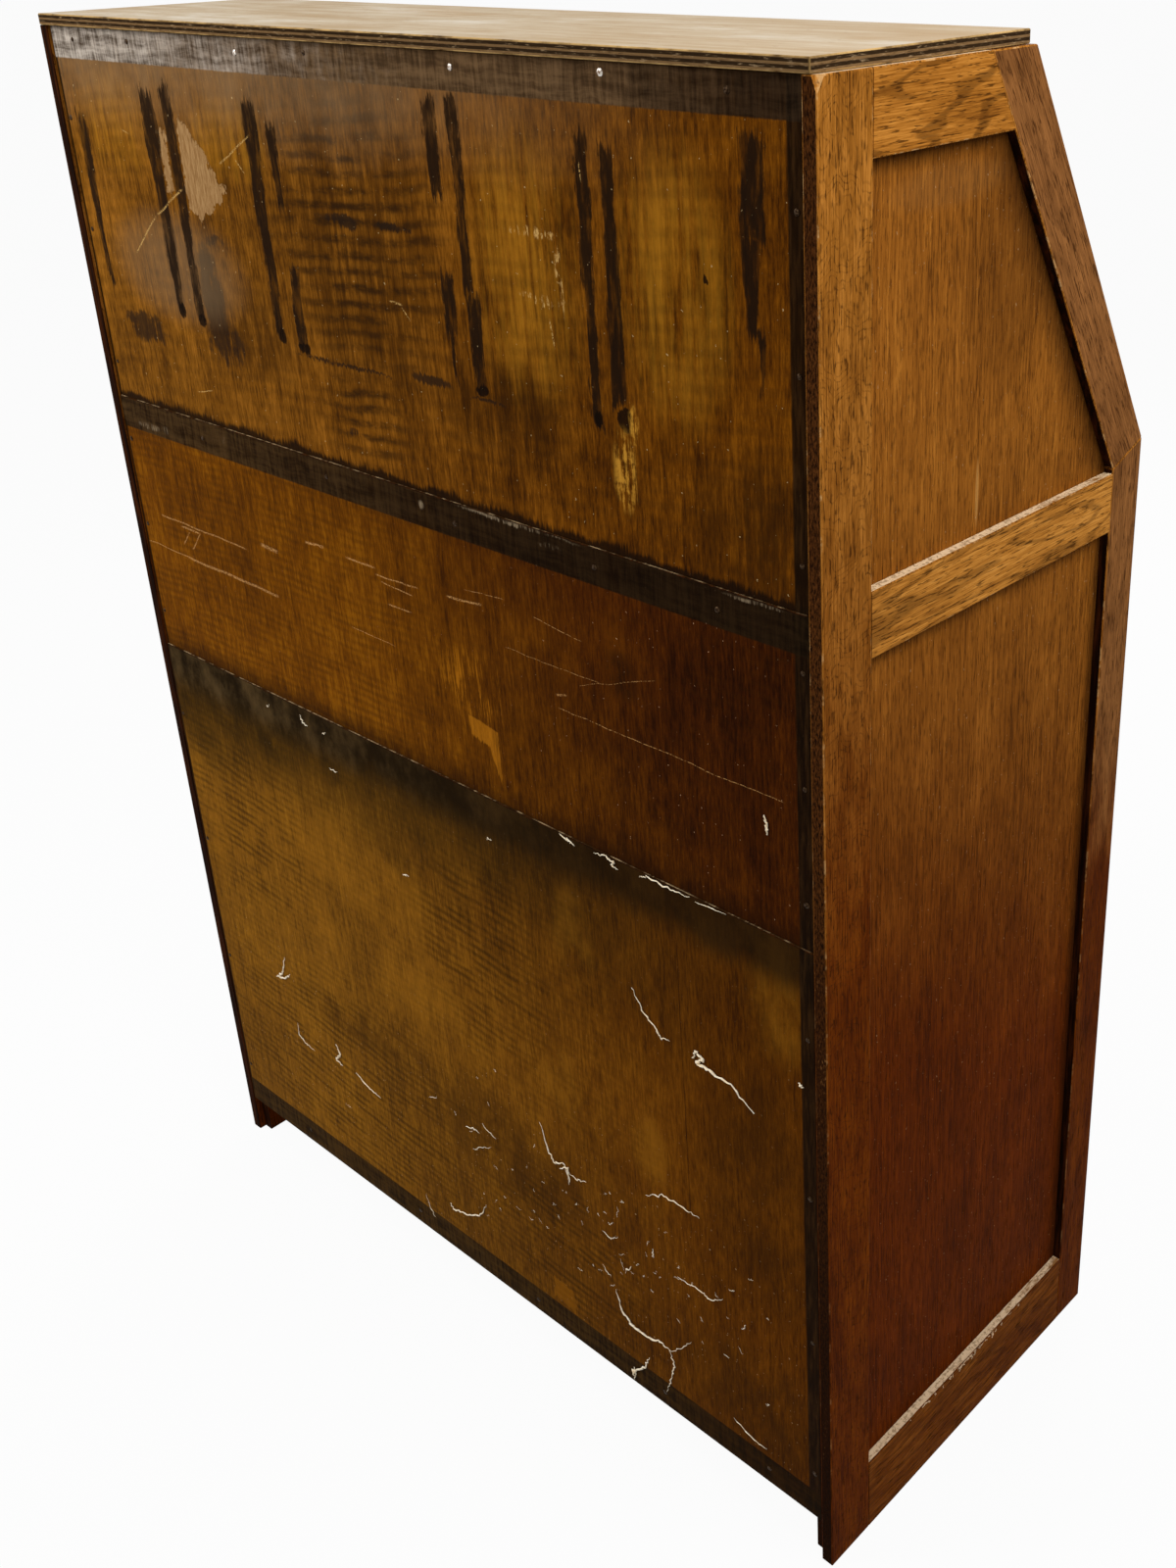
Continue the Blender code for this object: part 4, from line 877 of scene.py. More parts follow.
# Lower back sheet
# The thickest sheet of ply, behind the cupboard. Its stain is smoky under the dusty top ledge, and rippled
# figure shows through it. A dark band runs along its foot, where it is pinned to the bottom board.
# The lit sides span the painted light across the sheet, lighter to one side.
LOWER_LIT_SIDES = (-0.36, 0.24)
LOWER_RIPPLED = (-0.32, -0.10)
LOWER_RIPPLE_PITCH = 0.0074
SMOKE_HEIGHTS = (0.405, 0.515)
SMOKE_SIDES = (-0.28, 0.04)
LEDGE_SHADE_HEIGHTS = (0.4950, 0.5230)
LOWER_BAND_Z = 0.0665
# The left stains are the painted lit side of the sheet and the right ones its painted shaded side.
LOWER_LEFT = stains((156, 104, 26), (127, 82, 19), (90, 56, 13))
LOWER_RIGHT = stains((112, 62, 9), (88, 46, 5), (58, 28, 4))
SMOKE_TINT = tint(38, 27, 10)
LOWER_GLOWS = (((160, 405), (170, 60)), ((330, 395), (70, 90)), ((-118, 310), (30, 44)),
               ((-208, 300), (28, 40)), ((-145, 455), (26, 60)), ((60, 330), (70, 70)),
               ((200, 320), (60, 70)), ((-340, 490), (40, 60)))
LOWER_SHADES = (((-320, 330), (70, 140)), ((-40, 200), (130, 70)), ((150, 235), (130, 30)),
                ((-310, 110), (90, 70)))
PEELED_FOOT = ((-80, 98), (-104, 96), (-106, 70), (-82, 70))
RIPPLED_PATCHES = (((190, 150), (230, 150)), ((290, 400), (120, 120)), ((-35, 395), (90, 120)),
                   ((-120, 130), (130, 90)))
CRACK = ((-251, 500), (-250, 240), 0.5)


def lower_sheet(name):
    """The outer face of the lower sheet, with all its marks."""
    finish, shader, place = new_finish(name)
    plain_x, plain_z = along_axes(place, SIDEWAYS, UP)
    flecks, mottle, tone = sheet_grain(plain_x, plain_z, 71.0, 0.16)
    streaks = streaked(plain_x, plain_z, 75.0)
    bend = cloud(plain_x * 22, plain_z * 18, 78.0, 4.0, 0.6) - 0.5
    broad = cloud(plain_x * 7, plain_z * 7, 77.0, 4.0, 0.6)
    x = plain_x + streaks * 0.006 + bend * 0.030
    z = plain_z + streaks * 0.016 + bend * 0.030
    # Lighter to one side, as painted light.
    lit_side = rise(plain_x + (mottle - 0.5) * 0.20, *LOWER_LIT_SIDES)
    colour = paint(lit_side, shade(tone, LOWER_RIGHT), shade(tone, LOWER_LEFT))
    glows = ovals(x, z, LOWER_GLOWS, 1.0) * rise(mottle, 0.30, 0.66)
    colour = paint(glows * 0.42, colour, tint(156, 102, 24))
    shades = ovals(x, z, LOWER_SHADES, 1.0) * rise(mottle, 0.72, 0.38)
    colour = paint(shades * 0.55, colour, tint(56, 31, 6))
    figure = ripple(plain_x, plain_z, LOWER_RIPPLE_PITCH, -0.06, 79.0)
    figure = figure * (0.30 + ovals(x, z, RIPPLED_PATCHES, 1.0) * 0.7)
    colour = paint(figure * 0.58 * rise(plain_x, *LOWER_RIPPLED), colour, tint(40, 24, 6))
    peeled = rise(patch(x, z, PEELED_FOOT) + streaks * 0.004, 0.0, 0.0008)
    colour = paint(peeled * 0.45, colour, tint(150, 92, 16))
    smoke = rise(plain_z + (broad - 0.5) * 0.16 + (mottle - 0.5) * 0.05, *SMOKE_HEIGHTS)
    smoke = smoke * (0.28 + rise(plain_x, *SMOKE_SIDES) * 0.65) * (0.75 + rise(mottle, 0.66, 0.40) * 0.25)
    colour = paint(smoke, colour, SMOKE_TINT)
    colour = paint(scratch(plain_x + streaks * 0.002, plain_z, *CRACK) * 0.7, colour, tint(28, 12, 3))
    specks = crumbs(plain_x, plain_z, 360, 0.705)
    colour = paint(specks * (0.15 + rise(plain_z, 0.34, 0.20) * 0.6), colour, tint(206, 170, 120))
    edge = rise(plain_z + (mottle - 0.5) * 0.030 + streaks * 0.012, *LEDGE_SHADE_HEIGHTS)
    dusty = paint(rise(plain_x, -0.20, 0.36), tint(42, 28, 11), tint(84, 66, 40))
    colour = paint(edge * 0.84, colour, paint(rise(mottle, 0.36, 0.68), tint(26, 17, 6), dusty))

    beyond, beside = sheet_band(plain_x, plain_z, streaks, LOWER_BAND_Z, -1)
    tones = tint(20, 13, 5), paint(rise(plain_x, -0.34, -0.10), tint(46, 28, 9), tint(70, 48, 20))
    colour = margined(colour, plain_x, plain_z + bend * 0.010, beyond, beside, tones, 86.0)
    rough = 0.38 + mottle * 0.18 + smoke * 0.1
    return dressed(finish, shader, colour, rough, flecks * 0.35, SHEET_RELIEF)


back_sheet("lower", lower_sheet("lower_sheet"))

# Back pins
# Small round-headed steel pins hold the sheets along the top rail, the stiles and the boards behind.
# They are driven by eye, so some stand proud and some are bright where the hammer slipped.
PIN_RADIUS = 0.0019
PIN_CROWN = 0.0007
PIN_SIDES = 14
PIN_PROFILE = ((1.0, -0.6), (1.0, 0.35), (0.75, 0.8), (0.40, 1.0))
PIN_LEAN = 0.15
PIN_UNEVEN = (0.85, 1.15)
PIN_RELIEF = 0.0001
SHEET_FACES = {"upper": 0.1798, "middle": 0.1808, "lower": 0.1818}
STILE_PIN_X = 365
STILE_PIN_HEIGHTS = {"upper": (795, 901, 985), "middle": (575, 655, 730), "lower": (85, 215, 345, 475)}
BRIGHT_PINS = ((124, 1041), (-101, 1042), (-228, 1045))
ROW_PINS = {"upper": ((340, 1042), (262, 1043), (45, 1044), (-320, 1041)),
            "middle": ((250, 752), (85, 754), (-60, 751), (-196, 753), (-300, 752)),
            "lower": ((270, 54), (100, 55), (-60, 53), (-210, 54), (-320, 55))}
rng = random.Random(5)


def steel(name, clean, rusty):
    """Steel with spots of rust, which don't shine as the clean metal does."""
    finish, shader, place = new_finish(name)
    x, z = along_axes(place, SIDEWAYS, UP)
    rust = cloud(x * 700, z * 700, 0.0, 3.0, 0.6)
    rusted = rise(rust, 0.40, 0.62)
    (0.95 - rusted * 0.7).feed(shader, "Metallic")
    return dressed(finish, shader, paint(rusted, clean, rusty), 0.35 + rust * 0.4, rust, PIN_RELIEF)


def add_turning(mesh, seat, profile, sides):
    """A closed turned shape round the z of a seat, from points of radius and height."""
    turns = [2 * math.pi * step / sides for step in range(sides)]
    rows = [[mesh.verts.new(seat @ Vector((radius * math.cos(turn), radius * math.sin(turn), height)))
             for turn in turns] for radius, height in profile]
    for low, high in zip(rows, rows[1:]):
        for step in range(sides):
            after = (step + 1) % sides
            mesh.faces.new((low[step], low[after], high[after], high[step]))
    mesh.faces.new(rows[0][::-1])
    mesh.faces.new(rows[-1])


def facing(place, outward):
    """A seat at a place, with its z outward."""
    return Matrix.Translation(place) @ outward.to_track_quat("Z", "Y").to_matrix().to_4x4()


def add_pin(mesh, x, face_y, z):
    """A domed pin head on a face, tipped a little as it was driven."""
    lean = Vector((rng.uniform(-PIN_LEAN, PIN_LEAN), 1, rng.uniform(-PIN_LEAN, PIN_LEAN)))
    head = PIN_RADIUS * rng.uniform(*PIN_UNEVEN)
    profile = [(head * radius, PIN_CROWN * height) for radius, height in PIN_PROFILE]
    add_turning(mesh, facing((x * MM, face_y, z * MM), lean), profile, PIN_SIDES)


bright_pins, stained_pins = bmesh.new(), bmesh.new()
for pin_x, pin_z in BRIGHT_PINS:
    add_pin(bright_pins, pin_x, SHEET_FACES["upper"], pin_z)
for sheet, face_y in SHEET_FACES.items():
    for pin_x, pin_z in ROW_PINS[sheet]:
        add_pin(stained_pins, pin_x, face_y, pin_z)
    for pin_z in STILE_PIN_HEIGHTS[sheet]:
        add_pin(stained_pins, -STILE_PIN_X, face_y, pin_z)
        add_pin(stained_pins, STILE_PIN_X, face_y, pin_z)
bright_steel = steel("bright_steel", tint(214, 208, 198), tint(120, 90, 66))
stained_steel = steel("stained_steel", tint(66, 50, 34), tint(34, 21, 11))
placed("bright_pins", bright_pins, (bright_steel,), "brass", "carcase", rounded=True)
placed("stained_pins", stained_pins, (stained_steel,), "brass", "carcase", rounded=True)

# Lint and splinters
# Threads of pale lint cling to the lower back sheet and along its ledge, as they do on the back of anything
# that has stood against a wall. Each is a thin crooked strand that lies on the varnish. Shorter ones are
# splinters, which the left bottom rail has along its bare upper edge.
LINT_RADIUS = 0.00058
LINT_UNEVEN = (0.7, 1.3)
LINT_ENDS = 0.25
LINT_SHAKE = 0.0011
LINT_STEPS = 7
LINT_LIFT = 0.0002
# Each thread has its weight, and then the places that it goes through, as the marks on the sheets do.
THREADS = ((1.5, (263, 257), (268, 241), (276, 231), (283, 228)), (1.8, (258, 240), (268, 232), (280, 230)),
           (0.7, (261, 186), (260, 172), (250, 167), (238, 164)), (0.8, (173, 174), (155, 166), (138, 162)),
           (1.3, (199, 192), (193, 182), (201, 174), (193, 170)),
           (1.2, (52, 93), (48, 89), (30, 93), (10, 103), (-1, 122)),
           (1.1, (-86, 258), (-92, 238), (-99, 225), (-110, 231), (-116, 214)),
           (1.5, (-104, 222), (-117, 229), (-115, 211)), (0.7, (-116, 224), (-126, 222), (-136, 226)),
           (1.0, (-204, 441), (-214, 426), (-228, 416), (-231, 411), (-239, 412)),
           (2.0, (-261, 408), (-265, 417), (-272, 413), (-266, 408), (-280, 406), (-296, 405), (-317, 391)),
           (0.9, (-204, 253), (-222, 264), (-240, 265), (-259, 264)),
           (1.6, (-161, 131), (-166, 114), (-178, 104), (-192, 103), (-208, 108), (-219, 105)),
           (1.0, (-219, 105), (-223, 92), (-219, 76), (-212, 56)),
           (0.6, (-219, 105), (-230, 115), (-243, 131)),
           (1.4, (-194, 80), (-188, 66), (-178, 56), (-175, 43)), (1.8, (-176, 58), (-174, 46)),
           (0.9, (14, 198), (4, 203), (-4, 201)), (0.6, (8, 177), (-2, 184), (-18, 194)),
           (0.5, (-10, 214), (-26, 207)), (0.8, (-232, 190), (-258, 193), (-266, 190), (-279, 199)),
           (0.9, (-207, 203), (-207, 193)), (0.6, (-150, 186), (-160, 182), (-168, 190)),
           (0.6, (-148, 148), (-156, 141)), (0.8, (-173, 157), (-181, 168)),
           (0.6, (-297, 182), (-301, 188)), (1.6, (-356, 438), (-361, 436)), (0.5, (50, 210), (62, 204)),
           (0.6, (216, 530), (220, 527)), (0.9, (171, 535), (167, 529), (162, 527)),
           (0.7, (141, 527), (137, 529)), (0.7, (138, 496), (128, 497)), (0.6, (-57, 506), (-64, 507)),
           (0.7, (55, 430), (48, 431)), (0.7, (-285, 82), (-300, 76), (-318, 74)),
           (0.5, (88, 80), (82, 66), (78, 60)), (1.0, (-140, 541), (-150, 540), (-156, 537)),
           (1.1, (-176, 540), (-186, 541), (-196, 540), (-193, 536), (-199, 535)),
           (0.9, (-219, 537), (-226, 541), (-250, 540), (-266, 541)), (0.6, (-270, 540), (-298, 541)))
MIDDLE_THREAD = (1.5, (-333, 627), (-335, 620), (-334, 613))
# Small bits and splinters are strewn round a place, which comes first, with their usual distance from it.
LINT_BITS = 70
LINT_BITS_X = (-150, 90)
LINT_BITS_Z = (180, 40)
LINT_BIT_LENGTH = 3.6
LINT_BIT_WEIGHTS = (0.12, 0.30)
SPLINTERS = 40
SPLINTER_Y = (15, 26)
SPLINTER_TOP = 68
SPLINTER_LENGTH = 3.0
SPLINTER_WEIGHTS = (0.3, 0.7)


def lint(name):
    """Pale fluff, dull all over."""
    finish, shader, place = new_finish(name)
    x, z = along_axes(place, SIDEWAYS, UP)
    fluff = cloud(x * 300, z * 300, 0.0, 3.0, 0.7)
    paint(rise(fluff, 0.3, 0.7), tint(250, 226, 186), tint(255, 246, 224)).feed(shader, "Base Color")
    (0.85 + fluff * 0.1).feed(shader, "Roughness")
    return finish


def crooked(places):
    """The places of a thread with shaken ones between them."""
    strand = []
    for first, last in zip(places, places[1:]):
        for step in range(LINT_STEPS):
            spot = Vector(first).lerp(Vector(last), step / LINT_STEPS) * MM
            shake = (rng.uniform(-LINT_SHAKE, LINT_SHAKE), rng.uniform(-LINT_SHAKE, LINT_SHAKE))
            strand.append(spot + Vector(shake))
    return strand + [Vector(places[-1]) * MM]


def add_strand(mesh, weight, places, across, outward, face):
    """A four-sided strand that lies on an upright face and thins out at both ends. Its places are along the
    across axis and up, and the face is that far outward."""
    strand = crooked(places)
    rings = []
    for count, spot in enumerate(strand):
        run = (strand[min(count + 1, len(strand) - 1)] - strand[max(count - 1, 0)]).normalized()
        swell = LINT_ENDS + (1 - LINT_ENDS) * math.sin(math.pi * count / (len(strand) - 1))
        thick = LINT_RADIUS * weight * swell * rng.uniform(*LINT_UNEVEN)
        aside = (UP * run.x - across * run.y) * thick
        proud = outward * thick
        middle = across * spot.x + UP * spot.y + outward * (face + LINT_LIFT + thick)
        rings.append([mesh.verts.new(middle + step) for step in (aside, proud, -aside, -proud)])
    for low, high in zip(rings, rings[1:]):
        for corner in range(4):
            after = (corner + 1) % 4
            mesh.faces.new((low[corner], low[after], high[after], high[corner]))
    mesh.faces.new(rings[0][::-1])
    mesh.faces.new(rings[-1])


strands = bmesh.new()
for weight, *places in THREADS:
    add_strand(strands, weight, places, SIDEWAYS, BACKWARD, SHEET_FACES["lower"])
add_strand(strands, MIDDLE_THREAD[0], MIDDLE_THREAD[1:], SIDEWAYS, BACKWARD, SHEET_FACES["middle"])
for _ in range(LINT_BITS):
    start = Vector((rng.gauss(*LINT_BITS_X), rng.gauss(*LINT_BITS_Z)))
    end = start + Vector((rng.gauss(0, LINT_BIT_LENGTH), rng.gauss(0, LINT_BIT_LENGTH)))
    weight = rng.uniform(*LINT_BIT_WEIGHTS)
    add_strand(strands, weight, (start, end), SIDEWAYS, BACKWARD, SHEET_FACES["lower"])
splinters = bmesh.new()
for _ in range(SPLINTERS):
    start = Vector((rng.gauss(*SPLINTER_Y), SPLINTER_TOP))
    end = start + Vector((rng.gauss(0, SPLINTER_LENGTH), -abs(rng.gauss(0, SPLINTER_LENGTH))))
    weight = rng.uniform(*SPLINTER_WEIGHTS)
    add_strand(splinters, weight, (start, end), BACKWARD, -SIDEWAYS, SIDE_FACE)
for mesh in (strands, splinters):
    bmesh.ops.recalc_face_normals(mesh, faces=mesh.faces)
placed("back_lint", strands, (lint("lint"),), "back_ply", "carcase")
placed("left_rail_splinters", splinters, (oak_ledge,), "oak_frame", "carcase")

# Top board
# One thin plywood board lies on the side frames, glued and pinned. The sun has bleached its varnish to a
# pale greyish tan, and its edges show dark and light layers of ply under a rubbed corner.
TOP_FACE_Z = 1.0593
TOP_THICKNESS = 0.008
PLY_LAYERS = 5
PLY_RELIEF = 0.0004


def bleached_ply(name):
    """The sun-faded varnish of a broad face, worn in patches and stained, and darker towards one end as
    painted shade.
    """
    finish, shader, place = new_finish(name)
    x, y = along_axes(place, SIDEWAYS, BACKWARD)
    fibre = cloud(x * 22, y * 900, 1.0, 3.0, 0.65)
    lines = cloud(x * 4, y * 150, 2.0, 3.0, 0.6)
    worn = cloud(x * 7, y * 16, 3.0, 5.0, 0.65)
    tone = rise(fibre * 0.3 + lines * 0.3 + worn * 0.5, 0.40, 0.72)
    colour = paint(tone, tint(168, 144, 112), tint(200, 188, 168))
    colour = paint(rise(worn, 0.54, 0.70) * 0.7, colour, tint(206, 198, 184))
    stain = cloud(x * 5, y * 9, 9.0, 3.0)
    colour = paint(rise(stain, 0.56, 0.72) * 0.45, colour, tint(168, 134, 94))
    # Darker towards one end, as painted shade.
    colour = paint(rise(x + y * 0.6, 0.20, -0.38) * (0.15 + stain * 0.5), colour, tint(156, 132, 100))
    marks = rise(cloud(x * 90, y * 260, 6.0, 2.0), 0.66, 0.74)
    colour = paint(marks * 0.5, colour, tint(120, 88, 58))
    return dressed(finish, shader, colour, 0.55 + worn * 0.3, fibre * 0.5 + worn, SHEET_RELIEF)


def ply_edge(name):
    """The layers of ply along an edge, dark and light in turn, and rubbed."""
    finish, shader, place = new_finish(name)
    x, y, z = along_axes(place, SIDEWAYS, BACKWARD, UP)
    waver = cloud(x * 12, y * 12, 1.0, 2.0) * 0.0008
    layers = (TOP_FACE_Z - z + waver) * (PLY_LAYERS / TOP_THICKNESS * math.pi)
    stripe = rise(layers.sine(), -0.2, 0.6)
    grain = cloud(x * 130, y * 130, z * 900, 3.0, 0.65)
    colour = paint(stripe, tint(48, 34, 20), tint(118, 90, 58))
    colour = paint(rise(grain, 0.55, 0.75) * 0.7, colour, tint(172, 144, 108))
    colour = paint(rise(grain, 0.45, 0.30) * 0.6, colour, tint(26, 15, 8))
    return dressed(finish, shader, colour, 0.5 + grain * 0.3, stripe * 0.5 + grain, PLY_RELIEF)


def rubbed_ply(name):
    """A corner of the board, where pale wood is rubbed bare in places."""
    finish, shader, place = new_finish(name)
    x, y = along_axes(place, SIDEWAYS, BACKWARD)
    rub = cloud(x * 24, y * 24, 1.0, 5.0, 0.7)
    colour = paint(rise(rub, 0.32, 0.60), tint(70, 48, 24), tint(190, 154, 98))
    return dressed(finish, shader, colour, 0.6 + rub * 0.2, rub, PLY_RELIEF)


def ply_zone(_, normal):
    """The two broad faces are veneer and the edges show the layers."""
    return 0 if abs(normal.z) > STEEP else 1


top_finishes = (bleached_ply("bleached_ply"), ply_edge("ply_edge"), rubbed_ply("rubbed_ply"))
eased("top_board", top_finishes, "top_ply", zone=ply_zone)

# Lopers
# Two oak boards on edge slide out under the open fall, each in a pine guide glued under the writing bed.
# A small turned knob on the front end of each pulls it out.
LOPER_KNOB = {"radius": 0.009, "neck": 0.0055, "length": 0.016, "crown": 0.005}
KNOB_SIDES = 48
KNOB_STEPS = 10
KNOB_COLLAR = 0.0012
COLLAR_TOP = 0.5 * KNOB_COLLAR
NECK_FOOT = 1.5 * KNOB_COLLAR
NECK_FLARE = 2.5
KNOB_SHINE = 0.12
OAK_HANDLED = stains((122, 66, 24), (94, 48, 15), (58, 28, 9))
PINE = stains((214, 176, 122), (196, 152, 96), (164, 116, 62))
PINE_FIBRES = (800, 20)
PINE_PATCHES = (14, 6)
PINE_SHIFT = 2.3
PINE_RELIEF = 0.0001


def pine(name, along, across):
    """Plain planed pine with the lines of its late wood, darkened a little by hands and dust."""
    finish, shader, place = new_finish(name)
    shift = place.node("ShaderNodeObjectInfo", output="Random")
    length = along_axis(place, along) + shift * PINE_SHIFT
    breadth, deep = along_axes(place, across, along.cross(across))
    grain = length, breadth, deep
    sway = (cloud(length * 3, breadth * 6, deep * 6, 1.0) - 0.5) * 0.02
    rings = cloud((breadth + sway) * 170, deep * 90, length * 1.5, 1.0)
    fibre = drawn_out(grain, PINE_FIBRES, 3.0, 0.6)
    patches = drawn_out(grain, PINE_PATCHES, 3.0)
    tone = rise(rings * 0.5 + fibre * 0.35 + patches * 0.25, 0.34, 0.76)
    colour = paint(rise(patches, 0.55, 0.75) * 0.35, shade(tone, PINE), tint(128, 92, 54))
    return dressed(finish, shader, colour, 0.55 + fibre * 0.2, fibre + rings, PINE_RELIEF)


def turned_knob(name, place, outward, size, finish, body, *nodes):
    """A turned knob: a collar on the seat, a coved neck, a round rim and a low crown."""
    neck, radius, length, crown = size["neck"], size["radius"], size["length"], size["crown"]
    collar = neck + KNOB_COLLAR
    profile = [(collar, -KNOB_COLLAR), (collar, COLLAR_TOP), (neck, NECK_FOOT)]
    rim = length - crown
    neck_height = rim - KNOB_COLLAR - NECK_FOOT
    for step in range(1, KNOB_STEPS + 1):
        share = step / KNOB_STEPS
        profile.append((neck + (radius - neck) * share ** NECK_FLARE, NECK_FOOT + neck_height * share))
    for step in range(KNOB_STEPS):
        angle = math.pi / 2 * step / KNOB_STEPS
        profile.append((radius * math.cos(angle), rim + crown * math.sin(angle)))
    mesh = bmesh.new()
    add_turning(mesh, facing(place, outward), profile, KNOB_SIDES)
    placed(name, mesh, (finish,), "turned_oak", body, *nodes, rounded=True)


def add_board(mesh, low, high, arris):
    """A board between two corners, with its arrises eased."""
    middle, size = (low + high) / 2, high - low
    seat = Matrix.Translation(middle) @ Matrix.Diagonal(size).to_4x4()
    made = bmesh.ops.create_cube(mesh, size=1.0, matrix=seat)
    edges = {edge for corner in made["verts"] for edge in corner.link_edges}
    bmesh.ops.bevel(mesh, geom=list(edges), offset=arris, segments=2, profile=0.5, affect="EDGES",
                    material=1)


pine_lengthwise = pine("pine_lengthwise", BACKWARD, UP)
front_lengthwise = oak("front_lengthwise", BACKWARD, UP, OAK_FRONT, FRONT_HEIGHTS)
turned_oak = oak("turned_oak", BACKWARD, UP, OAK_HANDLED, NO_DARK_FOOT)
turned_oak.node_tree.nodes["Principled BSDF"].inputs["Specular IOR Level"].default_value = KNOB_SHINE
for hand in ("left", "right"):
    eased(hand + "_loper_guide", (pine_lengthwise, front_across, front_arris), "inner_wood", zone=front_zone)
    low, high = (Vector(corner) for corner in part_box(hand + "_loper"))
    low.y += LOPER_KNOB["length"]
    loper_board = bmesh.new()
    add_board(loper_board, low, high, ARRIS)
    placed(hand + "_loper_board", loper_board, (front_lengthwise, front_arris), "oak_front", "loper_" + hand,
           hand + "_loper")
    seat = Vector(((low.x + high.x) / 2, low.y, (low.z + high.z) / 2))
    turned_knob(hand + "_loper_knob", seat, -BACKWARD, LOPER_KNOB, turned_oak, "loper_" + hand)

# Drawer
# One long drawer: an oak front, pine sides housed in it, a pine back and a thin bottom slid into grooves.
# Two turned oak knobs are glued into the front.
KNOB = {"radius": 0.014, "neck": 0.008, "length": 0.024, "crown": 0.008}


def knob_seat(node, outward):
    """Where a knob's node meets the face it is fixed to."""
    points = [corner.co for corner in frame["nodes"][node].data.vertices]
    seat = outward * (max(outward.dot(point) for point in points) - KNOB["length"])
    for axis in (SIDEWAYS, outward.cross(SIDEWAYS)):
        reaches = [axis.dot(point) for point in points]
        seat = seat + axis * (min(reaches) + max(reaches)) / 2
    return seat


def fitted_knob(node, outward, body):
    """The turned knob that stands for a knob's node."""
    turned_knob(node + "_turned", knob_seat(node, outward), outward, KNOB, turned_oak, body, node)


pine_across = pine("pine_across", SIDEWAYS, UP)
pine_bottom = pine("pine_bottom", SIDEWAYS, BACKWARD)
eased("drawer_front", (front_across, front_arris), "oak_front")
eased("drawer_back", (pine_across,), "inner_wood")
eased("drawer_bottom", (pine_bottom,), "inner_wood")
for hand in ("left", "right"):
    eased(f"drawer_{hand}_side", (pine_lengthwise,), "inner_wood")
    fitted_knob(f"drawer_{hand}_knob", -BACKWARD, "drawer")

# Fall
# The sloping front is a framed oak board: two stiles, two rails and a panel set back from the outer face.
# It swings down on two brass butt hinges, which are let into it and into the writing bed, and has one knob.
FALL_PIVOT = Vector((0, -0.144879, 0.770))
FALL_HALF = 0.360
FALL_LENGTH = 0.311217
FALL_FRAME = 0.050
FALL_FIELD_X = FALL_HALF - FALL_FRAME
FALL_THICKNESS = 0.022
JOINT_LINE = 0.0004
STILE, RAIL, PANEL, JOINT = range(4)


def framed_zone(aside, half, on_rail):
    """The finish of a face of a framed board, from how far aside of the middle it lies and from half the
    width between the stiles. A dark line shows where a rail meets a stile."""
    if on_rail and half - JOINT_LINE < aside < half:
        return JOINT
    if aside > half - WELD:
        return STILE
    return RAIL if on_rail else PANEL


def joint_cuts(middle_x, half):
    """Cuts on both sides of the lines where the rails of a framed board meet its stiles."""
    return [((middle_x + edge * (half - inset), 0, 0), SIDEWAYS)
            for edge in (-1, 1) for inset in (0, JOINT_LINE)]


def up_fall(point):
    """How far a point lies up the slope from the hinge line."""
    return (point - FALL_PIVOT).dot(UP_SLOPE)


def fall_zone(middle, _):
    """Stiles, rails and panel of the fall, by place."""
    on_rail = not FALL_FRAME + WELD < up_fall(middle) < FALL_LENGTH - FALL_FRAME - WELD
    return framed_zone(abs(middle.x), FALL_FIELD_X, on_rail)


def fall_field_corner(middle):
    """The outer corners of the frame round the panel."""
    at_side = abs(abs(middle.x) - FALL_FIELD_X) < WELD
    at_end = min(abs(up_fall(middle) - FALL_FRAME), abs(up_fall(middle) - FALL_LENGTH + FALL_FRAME)) < WELD
    return (at_side or at_end) and (middle - FALL_PIVOT).dot(OFF_SLOPE) > FALL_THICKNESS - WELD


SCREW_RADIUS = 0.0022
SCREW_PROUD = 0.00015
SCREW_FLOOR = 0.2 * SCREW_PROUD
SCREW_SLOT = 0.0004
SCREW_SIDES = 18
SCREW_STEPS = ((-0.016, 0.0), (0.0, 0.004), (0.016, 0.0))
BRASS_RELIEF = 0.00008


def old_brass(name):
    """Yellow brass with brown tarnish over it in spots."""
    finish, shader, place = new_finish(name)
    x, y, z = along_axes(place, SIDEWAYS, BACKWARD, UP)
    tarnish = cloud(x * 160 + z * 90, y * 160 - z * 60, z * 160, 4.0, 0.65)
    colour = paint(rise(tarnish, 0.42, 0.66), tint(186, 144, 74), tint(104, 74, 36))
    shader.inputs["Metallic"].default_value = 1.0
    return dressed(finish, shader, colour, 0.28 + tarnish * 0.35, tarnish, BRASS_RELIEF)


def add_screw(mesh, place, outward):
    """The flat head of a slotted screw: a sunk disc with two half-moons on it."""
    seat = facing(place, outward) @ Matrix.Rotation(rng.uniform(0, math.pi), 4, "Z")
    add_turning(mesh, seat, ((SCREW_RADIUS, -SCREW_PROUD), (SCREW_RADIUS, SCREW_FLOOR)), SCREW_SIDES)
    edge = math.asin(SCREW_SLOT / SCREW_RADIUS)
    for side in (1, -1):
        turns = [edge + (math.pi - 2 * edge) * step / SCREW_SIDES for step in range(SCREW_SIDES + 1)]
        rows = []
        for height in (0.0, SCREW_PROUD):
            rows.append([mesh.verts.new(seat @ Vector((side * SCREW_RADIUS * math.cos(turn),
                                                       side * SCREW_RADIUS * math.sin(turn), height)))
                         for turn in turns])
        mesh.faces.new(rows[0][::-1])
        mesh.faces.new(rows[1])
        for step, low in enumerate(rows[0]):
            after = (step + 1) % len(turns)
            mesh.faces.new((low, rows[0][after], rows[1][after], rows[1][step]))


